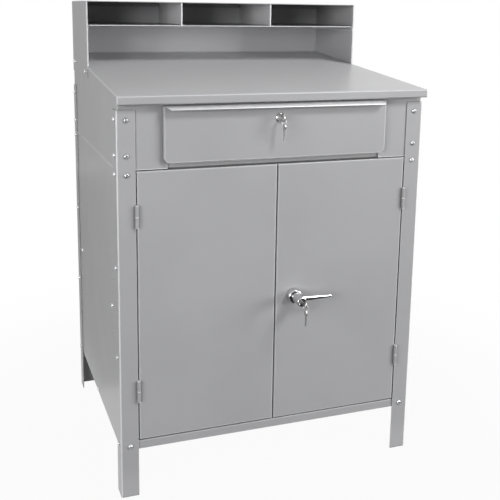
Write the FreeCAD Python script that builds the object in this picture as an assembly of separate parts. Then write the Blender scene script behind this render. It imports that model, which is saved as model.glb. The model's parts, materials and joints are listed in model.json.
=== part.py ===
import FreeCAD, Part
import math
import os

# A steel workshop desk: angle legs, a cabinet with two doors, a drawer under a sloping
# worktop and a riser with pigeonholes. Millimetres, +Z up, the front towards -Y.

Vec = FreeCAD.Vector

# Overall carcass
width_over_legs = 876.0
depth_over_legs = 740.0
leg_height = 1062.0

# Sheet thicknesses and inside bend radii
leg_sheet = 2.5
leg_bend = 2.0
panel_sheet = 1.2
panel_bend = 1.4
worktop_sheet = 2.0
worktop_bend = 2.0

# Values shared by all pieces
cut_overrun = 5.0
match_tolerance = 0.001
running_clearance = 0.05
seat_clearance = 0.3

# Angle legs
leg_flange = 49.0
leg_bolt_inset = 26.0

# Cabinet panels
ground_clearance = 136.0
housing_height = 154.0
seam_gap = 0.6
side_flange = 30.0
panel_edge_inset = 2.6
flange_end_gap = 0.8

# Bolts and nuts
bolt_radius = 3.2
bolt_hole_radius = 3.5
bolt_head_radius = 6.6
bolt_head_height = 4.2
bolt_dome_shares = ((1, 0), (0.9, 0.45), (0.55, 0.85), (0, 1))
bolt_tail = 2.0
nut_flats = 11.0
nut_height = 5.0
nut_bore_clearance = 0.05
bolt_edge_inset = 12.0
lower_bolt_count = 4
housing_bolt_rise = 37.0
leg_top_bolt_drop = 25.0

# Shelves
sill_height = 25.0
shelf_side_gap = 4.0
bottom_shelf_return = 12.0
bottom_flange_depth = 24.0
middle_shelf_height = 530.0
middle_shelf_front_inset = 70.0
middle_shelf_rear_inset = 20.0
middle_flange_depth = 25.0
shelf_bolt_reach = 270.0
shelf_bolt_drop = 13.0
shelf_hole_pitch = 77.0
shelf_hole_steps = (-2, -1, 0, 1, 2)

# Front rail under the drawer
rail_setback = 17.0
rail_bottom_drop = 20.0
rail_ledge_rise = 1.0
rail_top_rise = 13.0
rail_end_relief = 11.0
rail_end_rise = 17.0

# Worktop
worktop_overhang = 22.0
worktop_front_rise = 37.0
worktop_rise = 65.0
worktop_lip = 22.0
worktop_return = 14.0
worktop_rear_gap = 0.2

# Drawer housing
housing_flange = 18.0
side_top_flange = 20.0
side_top_flange_inset = 30.0
drawer_front_lap = 12.0
drawer_front_top_lap = 10.0

# Riser
riser_depth = 298.0
riser_rise = 168.0
riser_skirt = 56.0
riser_hem_depth = 11.0
riser_hem_layers = 2
riser_bolt_inset = 44.0
riser_bolt_drop = 21.0
pigeonhole_height = 70.0
riser_shelf_end_bend = 7.0
riser_flange = 14.0
divider_flange = 12.0
pigeonhole_count = 3

# Drawer front
drawer_side_margin = 121.0
drawer_bottom_rise = 15.0
drawer_lip_gap = 7.0
drawer_front_thick = 12.2
drawer_lower_corner = 16.0
drawer_upper_corner = 4.0
drawer_front_bend = 1.2
drawer_face_gap = 0.3

# Drawer tray and runners
tray_side_gap = 24.0
tray_bottom_rise = 6.0
tray_top_drop = 24.0
tray_length = 560.0
tray_flange = 17.0
tray_lip = 5.0
runner_side_gap = 2.5
runner_head_gap = 2.0
runner_tab = 25.0

# Drawer pull
pull_end_inset = 2.0
pull_sheet = 1.8
pull_bend = 2.6
pull_reach = 25.0
pull_seat = 9.0
pull_lip = 5.0
pull_end_slant = 11.0

# Drawer lock
drawer_lock_drop = 38.0
lock_bezel_radius = 12.5
lock_bezel_thick = 3.0
lock_bezel_bevel = 1.2
lock_body_radius = 9.5
lock_hole_clearance = 0.1
lock_rear_setback = 2.0
lock_nut_flats = 25.0
lock_nut_thick = 4.0
lock_plug_radius = 6.5
plug_proud = 0.4
cam_gap = 0.2
cam_thick = 2.0
cam_half_width = 6.0
cam_reach = 36.0

# Keys and key rings
key_thick = 2.0
key_bow_radius = 9.0
key_length = 46.0
key_blade_half = 3.4
key_insert = 17.0
key_hole_radius = 2.4
key_hole_inset = 4.6
key_notch_count = 3
key_notch_depth = 1.3
key_notch_pitch = 3.6
keyway_clearance = 0.2
ring_radius = 7.0
ring_wire_radius = 0.7

# Doors
door_depth = 18.0
door_lip = 15.0
door_hinge_gap = 2.6
door_centre_gap = 3.0
door_top_gap = 3.0
door_bottom_gap = 3.5

# Door hinges
hinge_height = 60.0
hinge_top_drop = 118.0
hinge_bottom_rise = 142.5
hinge_barrel_radius = 4.5
hinge_pin_radius = 2.5
hinge_leaf_sheet = 1.2
hinge_leaf_flange = 14.0
hinge_leaf_gap = 0.3
hinge_barrel_gap = 0.4
hinge_knuckle_gap = 0.4
hinge_pin_inset = 2.0

# Locking handle
handle_inset = 52.5
handle_height = 529.0
rose_radius = 20.0
rose_height = 20.0
rose_rim_radius = 4.0
shank_radius = 8.3
shank_inset = 1.0
hub_radius = 13.5
hub_length = 44.0
hub_rim_radius = 2.5
hub_gap = 0.3
lever_length = 101.5
lever_root_half = 8.5
lever_root_depth_half = 6.4
lever_tip_radius = 4.2
lever_setback = 26.3
handle_plug_radius = 6.4
handle_plug_depth = 19.0
spindle_width = 8.0
spindle_engagement = 14.0
spindle_hole_radius = 7.0
screw_head_radius = 4.2
screw_head_height = 2.6
screw_radius = 2.0
screw_length = 9.0

# Latch cam and lock rods
latch_gap = 0.5
latch_thick = 3.0
latch_hub_radius = 11.0
tongue_length = 70.0
tongue_half_width = 8.0
crank_radius = 18.0
crank_pin_radius = 2.5
crank_arm_half_width = 6.0
rod_gap = 0.3
rod_width = 12.0
rod_thick = 3.0
rod_plate_half_width = 10.0
rod_plate_half_height = 8.0
rod_slot_play = 0.8
rod_slot_end_play = 0.4
upper_rod_clearance = 4.0
lower_rod_clearance = 8.0
guide_sheet = 1.5
guide_bend = 1.0
guide_half_width = 13.0
guide_base = 16.0
guide_tail = 4.0
guide_play = 0.4
upper_guide_drop = 55.0
lower_guide_rise = 40.0
strike_play = 1.6

# Planes that follow from the sizes above
seam_height = leg_height - housing_height
worktop_front_height = leg_height + worktop_front_rise
worktop_rear_height = worktop_front_height + worktop_rise
overall_height = worktop_rear_height + riser_rise
riser_skirt_bottom = worktop_rear_height - riser_skirt
riser_shelf_height = overall_height - pigeonhole_height
drawer_bottom = seam_height + drawer_bottom_rise
drawer_top = worktop_front_height - worktop_lip - drawer_lip_gap
drawer_opening_top = drawer_top - drawer_front_top_lap
drawer_lock_height = drawer_top - drawer_lock_drop
tray_bottom = drawer_bottom + tray_bottom_rise
tray_top = drawer_top - tray_top_drop
leg_half = width_over_legs / 2
drawer_half = leg_half - drawer_side_margin
drawer_opening_half = drawer_half - drawer_front_lap
tray_half = drawer_opening_half - tray_side_gap
pull_half = drawer_half - pull_end_inset
leg_front = -depth_over_legs / 2
leg_rear = depth_over_legs / 2
panel_half = leg_half - leg_sheet
panel_front = leg_front + leg_sheet
panel_rear = leg_rear - leg_sheet
inner_half = panel_half - panel_sheet
front_inner = panel_front + panel_sheet
rear_inner = panel_rear - panel_sheet
flange_end = panel_half - side_flange - flange_end_gap
sheet_half = panel_half - panel_edge_inset
bottom_shelf_top = ground_clearance + sill_height
worktop_front = leg_front - worktop_overhang
worktop_slope = (worktop_rear_height - worktop_front_height) / (panel_rear - worktop_front)
worktop_drop = worktop_sheet * math.hypot(1, worktop_slope)
riser_front = leg_rear - riser_depth
riser_hem_inner = panel_half - riser_hem_layers * panel_sheet
riser_hem_half = riser_hem_inner - flange_end_gap
drawer_face = panel_front - drawer_face_gap - drawer_front_thick
tray_front = drawer_face + panel_sheet
tray_rear = tray_front + tray_length
door_edge = leg_half - leg_flange - door_hinge_gap
door_bottom = bottom_shelf_top + door_bottom_gap
door_top = seam_height - door_top_gap
door_back = leg_front + door_depth
rail_front = panel_front + rail_setback
rail_bottom = seam_height - rail_bottom_drop
rail_top = seam_height + rail_top_rise
rail_ledge = seam_height + rail_ledge_rise
rail_face = front_inner + panel_sheet + panel_bend
hinge_x = leg_half - leg_flange - door_hinge_gap / 2
hinge_y = leg_front - hinge_barrel_gap - hinge_barrel_radius
hinge_heights = (door_bottom + hinge_bottom_rise, door_top - hinge_top_drop)
handle_x = door_centre_gap / 2 + handle_inset
hub_back = leg_front - rose_height - hub_gap
hub_front = hub_back - hub_length
latch_front = door_back + latch_gap
latch_rear = latch_front + latch_thick
rod_front = latch_rear + rod_gap
rod_rear = rod_front + rod_thick
crank_rise = crank_radius * math.sin(math.pi / 4)
crank_middle = (crank_radius + crank_rise) / 2
rod_travel = 2 * crank_rise
lock_rear = front_inner + lock_rear_setback
cam_front = lock_rear + cam_gap
lock_face = drawer_face - lock_bezel_thick
ring_hang = key_hole_radius - ring_wire_radius - seat_clearance
key_stand_off = key_length - key_insert

# Bolt places
lower_bolt_bottom = ground_clearance + bolt_edge_inset
lower_bolt_span = seam_height - bolt_edge_inset - lower_bolt_bottom
lower_bolts = [
    lower_bolt_bottom + lower_bolt_span * index / (lower_bolt_count - 1)
    for index in range(lower_bolt_count)
]
lower_face_bolts = [lower_bolts[0], lower_bolts[-1]]
housing_bolts = [seam_height + housing_bolt_rise, leg_height - leg_top_bolt_drop]
leg_bolt_x = leg_half - leg_bolt_inset
leg_bolt_y = leg_rear - leg_bolt_inset
shelf_bolt_height = middle_shelf_height - shelf_bolt_drop
shelf_holes = [shelf_bolt_height + step * shelf_hole_pitch for step in shelf_hole_steps]
riser_bolt_places = (riser_front + riser_bolt_inset, leg_rear - riser_bolt_inset)


# Simple solids

def block(x_low, x_high, y_low, y_high, z_low, z_high):
    """Box between two corners."""
    return Part.makeBox(x_high - x_low, y_high - y_low, z_high - z_low, Vec(x_low, y_low, z_low))


def rod_along(axis, point, radius, length):
    """Cylinder from a point along an axis."""
    return Part.makeCylinder(radius, length, point, axis)


def hole_x(y, z, radius, x_from, x_to):
    """Cutter along X."""
    start = Vec(x_from - cut_overrun, y, z)
    return rod_along(Vec(1, 0, 0), start, radius, x_to - x_from + 2 * cut_overrun)


def hole_y(x, z, radius, y_from, y_to):
    """Cutter along Y."""
    start = Vec(x, y_from - cut_overrun, z)
    return rod_along(Vec(0, 1, 0), start, radius, y_to - y_from + 2 * cut_overrun)


def hexagon_prism(flats, height):
    """Hexagonal prism standing on the origin along +Z."""
    corner = flats / math.sqrt(3)
    points = [
        Vec(corner * math.cos(index * math.pi / 3), corner * math.sin(index * math.pi / 3), 0)
        for index in range(7)
    ]
    return Part.Face(Part.makePolygon(points)).extrude(Vec(0, 0, height))


def revolved(points):
    """Solid of revolution about Z from an outline of (radius, height) points."""
    outline = [Vec(radius, 0, height) for radius, height in points]
    face = Part.Face(Part.makePolygon(outline + outline[:1]))
    return face.revolve(Vec(0, 0, 0), Vec(0, 0, 1), 360)


def facing(shape, point, direction):
    """Move a shape built along +Z to a point, so that +Z turns to the direction."""
    placed = shape.copy()
    turn = FreeCAD.Placement(point, FreeCAD.Rotation(Vec(0, 0, 1), direction))
    placed.Placement = turn.multiply(shape.Placement)
    return placed


def mirrored(shape):
    """The same piece on the other side of the desk."""
    return shape.mirror(Vec(0, 0, 0), Vec(1, 0, 0))


def turned_end(shape):
    """The same piece at the other end, front to rear."""
    return shape.mirror(Vec(0, 0, 0), Vec(0, 1, 0))


def joined(first, *others):
    """One solid of several that touch or overlap."""
    return first.fuse(list(others)).removeSplitter()


# Bent sheet metal

def bend_points(before, corner, after, sheet, bend):
    """Start, middle and end of a bend on the near face of the sheet and on its far face."""
    incoming = (corner - before).normalize()
    outgoing = (after - corner).normalize()
    left_turn = incoming.cross(outgoing).z > 0
    near_radius = bend + sheet if left_turn else bend
    far_radius = bend if left_turn else bend + sheet
    reach = near_radius * math.tan(incoming.getAngle(outgoing) / 2)
    start = corner - incoming * reach
    end = corner + outgoing * reach
    inward = Vec(-incoming.y, incoming.x, 0) * (1 if left_turn else -1)
    centre = start + inward * near_radius
    middle = centre + (corner - centre).normalize() * near_radius
    near = [start, middle, end]
    far = [centre + (point - centre) * (far_radius / near_radius) for point in near]
    return near, far


def chain(first, bends, last):
    """Straight edges and arcs from the first point through the bends to the last."""
    edges = []
    place = first
    for start, middle, end in bends:
        edges.append(Part.makeLine(place, start))
        edges.append(Part.Arc(start, middle, end).toShape())
        place = end
    edges.append(Part.makeLine(place, last))
    return edges


def folded_face(path, sheet, bend):
    """Section of a bent sheet. The path runs on one face, with the metal on its left."""
    points = [Vec(u, v, 0) for u, v in path]
    corners = [
        bend_points(points[index - 1], points[index], points[index + 1], sheet, bend)
        for index in range(1, len(points) - 1)
    ]
    near = chain(points[0], [pair[0] for pair in corners], points[-1])
    out = (points[1] - points[0]).normalize()
    back = (points[-1] - points[-2]).normalize()
    far_first = points[0] + Vec(-out.y, out.x, 0) * sheet
    far_last = points[-1] + Vec(-back.y, back.x, 0) * sheet
    far = chain(far_first, [pair[1] for pair in corners], far_last)
    ends = [Part.makeLine(points[-1], far_last), Part.makeLine(points[0], far_first)]
    return Part.Face(Part.Wire(Part.__sortEdges__(near + far + ends)))


def folded_along_z(path, sheet, bend, z_low, z_high):
    """Bent sheet with its section in (x, y), standing along Z."""
    shape = folded_face(path, sheet, bend).extrude(Vec(0, 0, z_high - z_low))
    shape.translate(Vec(0, 0, z_low))
    return shape


def folded_along_x(path, sheet, bend, x_low, x_high):
    """Bent sheet with its section in (y, z), lying along X."""
    shape = folded_face(path, sheet, bend).extrude(Vec(0, 0, x_high - x_low))
    turn = FreeCAD.Rotation(Vec(0, 1, 0), Vec(0, 0, 1), Vec(1, 0, 0), "XYZ")
    shape.Placement = FreeCAD.Placement(Vec(x_low, 0, 0), turn)
    return shape


def folded_along_y(path, sheet, bend, y_low, y_high):
    """Bent sheet with its section in (x, z), lying along Y."""
    shape = folded_face(path, sheet, bend).extrude(Vec(0, 0, y_high - y_low))
    turn = FreeCAD.Rotation(Vec(1, 0, 0), Vec(0, 0, 1), Vec(0, -1, 0), "XYZ")
    shape.Placement = FreeCAD.Placement(Vec(0, y_high, 0), turn)
    return shape


def front_edges(shape, y):
    """Edges that lie wholly in the plane of one y."""
    return [
        edge for edge in shape.Edges
        if all(abs(vertex.Point.y - y) < match_tolerance for vertex in edge.Vertexes)
    ]


def worktop_underside(y):
    """Height of the worktop's lower face at one y."""
    return worktop_front_height + worktop_slope * (y - worktop_front) - worktop_drop


def above_worktop():
    """Everything above the worktop's lower face, to trim what stands under it."""
    low = leg_front - worktop_overhang - cut_overrun
    high = leg_rear + cut_overrun
    outline = [
        Vec(-leg_half, low, worktop_underside(low)),
        Vec(-leg_half, high, worktop_underside(high)),
        Vec(-leg_half, high, overall_height),
        Vec(-leg_half, low, overall_height),
    ]
    return Part.Face(Part.makePolygon(outline + outline[:1])).extrude(Vec(width_over_legs, 0, 0))


# Carcass

def leg(face_heights):
    """Front left angle leg with its bolt holes; the others are its mirror images."""
    path = [
        (-leg_half, leg_front + leg_flange),
        (-leg_half, leg_front),
        (-leg_half + leg_flange, leg_front),
    ]
    shape = folded_along_z(path, leg_sheet, leg_bend, 0, leg_height)
    cutters = [
        hole_x(-leg_bolt_y, height, bolt_hole_radius, -leg_half, -panel_half)
        for height in lower_bolts + housing_bolts
    ]
    cutters += [
        hole_y(-leg_bolt_x, height, bolt_hole_radius, leg_front, panel_front)
        for height in face_heights
    ]
    return shape.cut(cutters)


def side_section(front_flange_y):
    """Path of a side panel's section, from the rear flange round to the front flange."""
    return [
        (-panel_half + side_flange, rear_inner),
        (-panel_half, rear_inner),
        (-panel_half, front_flange_y),
        (-panel_half + side_flange, front_flange_y),
    ]


def side_bolt_cutters(heights, front_heights):
    """Holes for the leg bolts in a left side panel and its two flanges."""
    cutters = [
        hole_x(y, height, bolt_hole_radius, -panel_half, -inner_half)
        for y in (-leg_bolt_y, leg_bolt_y) for height in heights
    ]
    cutters += [
        hole_y(-leg_bolt_x, height, bolt_hole_radius, panel_front, front_inner)
        for height in front_heights
    ]
    cutters += [
        hole_y(-leg_bolt_x, height, bolt_hole_radius, rear_inner - panel_sheet, rear_inner)
        for height in heights
    ]
    return cutters


def lower_side():
    """Left cabinet side with flanges behind both legs and two rows of shelf holes."""
    section = side_section(panel_front)
    top = seam_height - seam_gap
    shape = folded_along_z(section, panel_sheet, panel_bend, ground_clearance, top)
    cutters = side_bolt_cutters(lower_bolts, lower_face_bolts)
    cutters += [
        hole_x(y, height, bolt_hole_radius, -panel_half, -inner_half)
        for y in (-shelf_bolt_reach, shelf_bolt_reach) for height in shelf_holes
    ]
    cutters.append(hole_x(0, lower_bolts[0], bolt_hole_radius, -panel_half, -inner_half))
    return shape.cut(cutters)


def lower_back():
    """Cabinet back, a flat sheet against the rear legs' flanges."""
    top = seam_height - seam_gap
    shape = block(-sheet_half, sheet_half, rear_inner, panel_rear, ground_clearance, top)
    return shape.cut([
        hole_y(x, height, bolt_hole_radius, rear_inner, panel_rear)
        for x in (-leg_bolt_x, leg_bolt_x) for height in lower_bolts
    ])


def shelf_pan(top, front, rear, middle_half, side_front, side_rear, depths, front_return):
    """Shelf with flanges turned down all round; depths are of front, rear and side flanges."""
    front_depth, rear_depth, side_depth = depths
    lengthwise = [
        (rear, top - rear_depth),
        (rear, top),
        (front, top),
        (front, top - front_depth),
        (front + front_return, top - front_depth),
    ]
    crosswise = [
        (inner_half, top - side_depth),
        (inner_half, top),
        (-inner_half, top),
        (-inner_half, top - side_depth),
    ]
    body = folded_along_x(lengthwise, panel_sheet, panel_bend, -middle_half, middle_half)
    sides = folded_along_y(crosswise, panel_sheet, panel_bend, side_front, side_rear)
    return joined(body, sides)


def shelf_bolt_cutters(places, height):
    """Holes through both side flanges of a shelf."""
    return [hole_x(y, height, bolt_hole_radius, -inner_half, inner_half) for y in places]


def bottom_shelf():
    """Cabinet floor; its front flange is the sill, and the lower lock rod drops through it."""
    side_reach = leg_rear - leg_sheet - panel_sheet - shelf_side_gap
    shape = shelf_pan(
        bottom_shelf_top, panel_front, rear_inner, flange_end, -side_reach, side_reach,
        (sill_height, sill_height, bottom_flange_depth), bottom_shelf_return,
    )
    rod_x = handle_x + crank_middle
    strike = block(
        rod_x - rod_width / 2 - strike_play, rod_x + rod_width / 2 + strike_play,
        rod_front - strike_play, rod_rear + strike_play,
        bottom_shelf_top - panel_sheet - cut_overrun, bottom_shelf_top + cut_overrun,
    )
    places = (-leg_bolt_y, 0, leg_bolt_y)
    return shape.cut(shelf_bolt_cutters(places, lower_bolts[0]) + [strike])


def middle_shelf():
    """Cabinet shelf, bolted through the side panels."""
    front = leg_front + middle_shelf_front_inset
    rear = leg_rear - middle_shelf_rear_inset
    middle_half = inner_half - panel_sheet - flange_end_gap
    inset = panel_sheet + flange_end_gap
    depths = (middle_flange_depth, middle_flange_depth, middle_flange_depth)
    shape = shelf_pan(
        middle_shelf_height, front, rear, middle_half, front + inset, rear - inset,
        depths, bottom_shelf_return,
    )
    return shape.cut(shelf_bolt_cutters((-shelf_bolt_reach, shelf_bolt_reach), shelf_bolt_height))


def front_rail():
    """Z-shaped rail: a strip under the drawer and a web that stops the doors and upper rod."""
    path = [
        (rail_face, rail_top),
        (rail_face, rail_ledge),
        (rail_front, rail_ledge),
        (rail_front, rail_bottom),
    ]
    shape = folded_along_x(path, panel_sheet, panel_bend, -inner_half, inner_half)
    for x_low in (-inner_half - cut_overrun, inner_half - rail_end_relief):
        x_high = x_low + rail_end_relief + cut_overrun
        shape = shape.cut(block(
            x_low, x_high, rail_front - cut_overrun, rail_front + panel_sheet + cut_overrun,
            rail_bottom - cut_overrun, rail_bottom + rail_end_rise,
        ))
    return shape


# Drawer housing and worktop

def housing_side():
    """Left side of the drawer housing, its top edge sloping with the worktop."""
    section = side_section(front_inner)
    wall = folded_along_z(section, panel_sheet, panel_bend, seam_height, worktop_rear_height)
    front = leg_front + side_top_flange_inset
    rear = leg_rear - side_top_flange_inset
    outline = [
        Vec(-inner_half, front, worktop_underside(front)),
        Vec(-inner_half, rear, worktop_underside(rear)),
        Vec(-inner_half, rear, worktop_underside(rear) - panel_sheet),
        Vec(-inner_half, front, worktop_underside(front) - panel_sheet),
    ]
    flange = Part.Face(Part.makePolygon(outline + outline[:1])).extrude(Vec(side_top_flange, 0, 0))
    shape = joined(wall.cut(above_worktop()), flange)
    cutters = side_bolt_cutters(housing_bolts, housing_bolts)
    cutters += [
        hole_x(y, riser_bolt_height(y), bolt_hole_radius, -panel_half, -inner_half)
        for y in riser_bolt_places
    ]
    return shape.cut(cutters)


def flanged_wall(y_outer, inward):
    """Upright housing wall whose top flange turns in under the worktop."""
    bent = [
        (y_outer + inward * housing_flange, worktop_underside(y_outer + inward * housing_flange)),
        (y_outer, worktop_underside(y_outer)),
        (y_outer, seam_height),
    ]
    path = bent if inward > 0 else bent[::-1]
    shape = folded_along_x(path, panel_sheet, panel_bend, -sheet_half, sheet_half)
    y_wall = y_outer + inward * panel_sheet
    y_end = y_outer + inward * (housing_flange + cut_overrun)
    y_low, y_high = min(y_wall, y_end), max(y_wall, y_end)
    corners = [
        block(x_low, x_high, y_low, y_high, seam_height, overall_height)
        for x_low, x_high in ((-leg_half, -flange_end), (flange_end, leg_half))
    ]
    return shape.cut(corners)


def housing_front():
    """Panel round the drawer, notched from below for it."""
    shape = flanged_wall(panel_front, 1)
    notch = block(
        -drawer_opening_half, drawer_opening_half,
        panel_front - cut_overrun, front_inner + cut_overrun,
        seam_height - cut_overrun, drawer_opening_top,
    )
    return shape.cut([notch] + [
        hole_y(x, height, bolt_hole_radius, panel_front, front_inner)
        for x in (-leg_bolt_x, leg_bolt_x) for height in housing_bolts
    ])


def housing_back():
    """Back of the drawer housing."""
    return flanged_wall(panel_rear, -1).cut([
        hole_y(x, height, bolt_hole_radius, rear_inner, panel_rear)
        for x in (-leg_bolt_x, leg_bolt_x) for height in housing_bolts
    ])


def worktop():
    """Sloping top with a turned-down front lip, notched at the rear for the riser's sides."""
    rear = panel_rear - worktop_rear_gap
    rear_height = worktop_front_height + worktop_slope * (rear - worktop_front)
    lip_bottom = worktop_front_height - worktop_lip
    path = [
        (rear, rear_height),
        (worktop_front, worktop_front_height),
        (worktop_front, lip_bottom),
        (worktop_front + worktop_return, lip_bottom),
    ]
    shape = folded_along_x(path, worktop_sheet, worktop_bend, -leg_half, leg_half)
    notch_half = panel_half - worktop_rear_gap
    return shape.cut([
        block(
            x_low, x_high, riser_front - worktop_rear_gap, leg_rear + cut_overrun,
            lip_bottom, overall_height,
        )
        for x_low, x_high in (
            (-leg_half - cut_overrun, -notch_half), (notch_half, leg_half + cut_overrun),
        )
    ])


def runner():
    """Right drawer runner: a channel open to the tray, with a welding tab at each end."""
    inner = tray_half + runner_side_gap
    outer = tray_half + tray_flange + runner_side_gap + panel_sheet
    bottom = tray_top - tray_lip - seat_clearance - panel_sheet
    top = tray_top + runner_head_gap + panel_sheet
    path = [(inner, bottom), (outer, bottom), (outer, top), (inner, top)]
    shape = folded_along_y(path, panel_sheet, panel_bend, front_inner, rear_inner)
    corner = panel_bend + panel_sheet
    tabs = [
        block(outer - panel_sheet, outer + runner_tab, y, y + panel_sheet, bottom + corner, top - corner)
        for y in (front_inner, rear_inner - panel_sheet)
    ]
    return joined(shape, *tabs)


# Riser

def riser_bolt_height(y):
    """Riser bolts follow the worktop's slope."""
    return worktop_front_height + worktop_slope * (y - worktop_front) - riser_bolt_drop


def riser_side():
    """Left riser side, lapping the housing outside, with a hemmed front edge above it."""
    rear = panel_rear + panel_sheet
    sheet = block(
        -panel_half - panel_sheet, -panel_half, riser_front, rear, riser_skirt_bottom, overall_height,
    )
    hem_bottom = worktop_front_height + worktop_slope * (riser_front + riser_hem_depth - worktop_front)
    hem = block(
        -panel_half, -panel_half + riser_hem_layers * panel_sheet,
        riser_front, riser_front + riser_hem_depth,
        hem_bottom, overall_height - panel_sheet,
    )
    return joined(sheet, hem).cut([
        hole_x(y, riser_bolt_height(y), bolt_hole_radius, -panel_half - panel_sheet, -panel_half)
        for y in riser_bolt_places
    ])


def riser_back():
    """Riser back, lapping the housing's back outside."""
    return block(
        -panel_half, panel_half, panel_rear, panel_rear + panel_sheet,
        riser_skirt_bottom, overall_height - panel_sheet,
    )


def riser_top():
    """Thin lid of the riser, hemmed in front, with a flange turned down inside the back."""
    top = overall_height
    path = [
        (panel_rear, top - riser_flange),
        (panel_rear, top),
        (riser_front, top),
    ]
    lid = folded_along_x(path, panel_sheet, panel_bend, -panel_half, panel_half)
    hem = block(
        -riser_hem_half, riser_hem_half, riser_front, riser_front + riser_hem_depth,
        top - riser_hem_layers * panel_sheet, top - panel_sheet,
    )
    return joined(lid, hem)


def shelf_ends(half):
    """Path across the riser's shelf, with both ends turned down."""
    top = riser_shelf_height
    low = top - riser_flange
    return [(half, low), (half, top), (-half, top), (-half, low)]


def riser_shelf():
    """Shelf under the pigeonholes: a hemmed front edge with rounded ends, and three flanges."""
    top = riser_shelf_height
    hem_rear = riser_front + riser_hem_depth
    rear_end = panel_rear - panel_sheet - flange_end_gap
    lengthwise = [(panel_rear, top - riser_flange), (panel_rear, top), (riser_front, top)]
    flat_half = riser_hem_inner - riser_shelf_end_bend - panel_sheet
    deck = folded_along_x(lengthwise, panel_sheet, panel_bend, -flat_half, flat_half)
    edge = folded_along_y(
        shelf_ends(riser_hem_inner), panel_sheet, riser_shelf_end_bend, riser_front, hem_rear,
    )
    sides = folded_along_y(shelf_ends(panel_half), panel_sheet, panel_bend, hem_rear, rear_end)
    hem = block(
        -flat_half, flat_half, riser_front, hem_rear,
        top - riser_hem_layers * panel_sheet, top - panel_sheet,
    )
    return joined(deck, edge, sides, hem)


def riser_divider(side):
    """Upright between two pigeonholes, a Z of sheet between shelf and lid, hemmed in front."""
    pitch = 2 * panel_half / pigeonhole_count
    x_place = side * pitch / 2 - panel_sheet
    low = riser_shelf_height
    high = overall_height - panel_sheet
    path = [
        (x_place - divider_flange, high - panel_sheet),
        (x_place, high - panel_sheet),
        (x_place, low),
        (x_place + divider_flange, low),
    ]
    front = riser_front + riser_hem_depth + flange_end_gap
    rear = panel_rear - panel_sheet - panel_bend
    wall = folded_along_y(path, panel_sheet, panel_bend, front, rear)
    nose = block(
        x_place - riser_hem_layers * panel_sheet, x_place + panel_sheet,
        riser_front + panel_sheet, front,
        low, high - panel_sheet - flange_end_gap,
    )
    return joined(wall, nose)


# Fasteners

def bolt(grip):
    """Dome-headed bolt along +Z, its head's seat at the origin and its shank below."""
    end = -(grip + nut_height + bolt_tail)
    outline = [(0, end), (bolt_radius, end), (bolt_radius, 0)]
    outline += [
        (bolt_head_radius * radius_share, bolt_head_height * height_share)
        for radius_share, height_share in bolt_dome_shares
    ]
    return revolved(outline)


def nut(grip):
    """Plain hexagon nut on a bolt of the same grip."""
    body = hexagon_prism(nut_flats, nut_height)
    bore = rod_along(
        Vec(0, 0, 1), Vec(0, 0, -cut_overrun), bolt_radius + nut_bore_clearance,
        nut_height + 2 * cut_overrun,
    )
    shape = body.cut(bore)
    shape.translate(Vec(0, 0, -(grip + nut_height)))
    return shape


def bolt_places():
    """Seat, outward direction and grip of every bolt."""
    places = []
    for side in (-1, 1):
        out = Vec(side, 0, 0)
        for y in (-leg_bolt_y, leg_bolt_y):
            for height in lower_bolts + housing_bolts:
                layers = 2 if height == lower_bolts[0] else 1
                places.append((Vec(side * leg_half, y, height), out, leg_sheet + layers * panel_sheet))
        places.append((Vec(side * panel_half, 0, lower_bolts[0]), out, 2 * panel_sheet))
        for y in (-shelf_bolt_reach, shelf_bolt_reach):
            places.append((Vec(side * panel_half, y, shelf_bolt_height), out, 2 * panel_sheet))
        for y in riser_bolt_places:
            seat = Vec(side * (panel_half + panel_sheet), y, riser_bolt_height(y))
            places.append((seat, out, 2 * panel_sheet))
        for height in lower_face_bolts:
            seat = Vec(side * leg_bolt_x, leg_front, height)
            places.append((seat, Vec(0, -1, 0), leg_sheet + panel_sheet))
        for height in housing_bolts:
            seat = Vec(side * leg_bolt_x, leg_front, height)
            places.append((seat, Vec(0, -1, 0), leg_sheet + 2 * panel_sheet))
        for height in lower_bolts + housing_bolts:
            seat = Vec(side * leg_bolt_x, leg_rear, height)
            places.append((seat, Vec(0, 1, 0), leg_sheet + 2 * panel_sheet))
    return places


def bolts():
    """All bolts, as separate solids."""
    return Part.makeCompound([facing(bolt(grip), seat, out) for seat, out, grip in bolt_places()])


def nuts():
    """All nuts, as separate solids."""
    return Part.makeCompound([facing(nut(grip), seat, out) for seat, out, grip in bolt_places()])


# Drawer

def rounded_plate(inset, y_low, y_high, edge_radius):
    """Drawer-front outline drawn in by an inset, as a plate with a rounded front edge."""
    half = drawer_half - inset
    low = drawer_bottom + inset
    high = drawer_top - inset
    plate = block(-half, half, y_low, y_high, low, high)
    depthwise = [edge for edge in plate.Edges if abs(edge.tangentAt(edge.FirstParameter).y) > 1 / 2]
    for edges_high, radius in ((False, drawer_lower_corner), (True, drawer_upper_corner)):
        chosen = [
            edge for edge in depthwise
            if (edge.Vertexes[0].Point.z > (low + high) / 2) == edges_high
        ]
        matching = [
            edge for edge in plate.Edges
            if any(edge.CenterOfMass.distanceToPoint(other.CenterOfMass) < match_tolerance
                   for other in chosen)
        ]
        plate = plate.makeFillet(radius - inset, matching)
    return plate.makeFillet(edge_radius, front_edges(plate, y_low))


def drawer_front():
    """Pan-formed front with rounded lower corners, open at the back, holed for the lock."""
    back = panel_front - drawer_face_gap
    outer = rounded_plate(0, drawer_face, back, drawer_front_bend + panel_sheet)
    inner = rounded_plate(panel_sheet, tray_front, back + cut_overrun, drawer_front_bend)
    lock_hole = hole_y(0, drawer_lock_height, lock_body_radius + lock_hole_clearance, drawer_face, tray_front)
    return outer.cut([inner, lock_hole])


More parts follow.
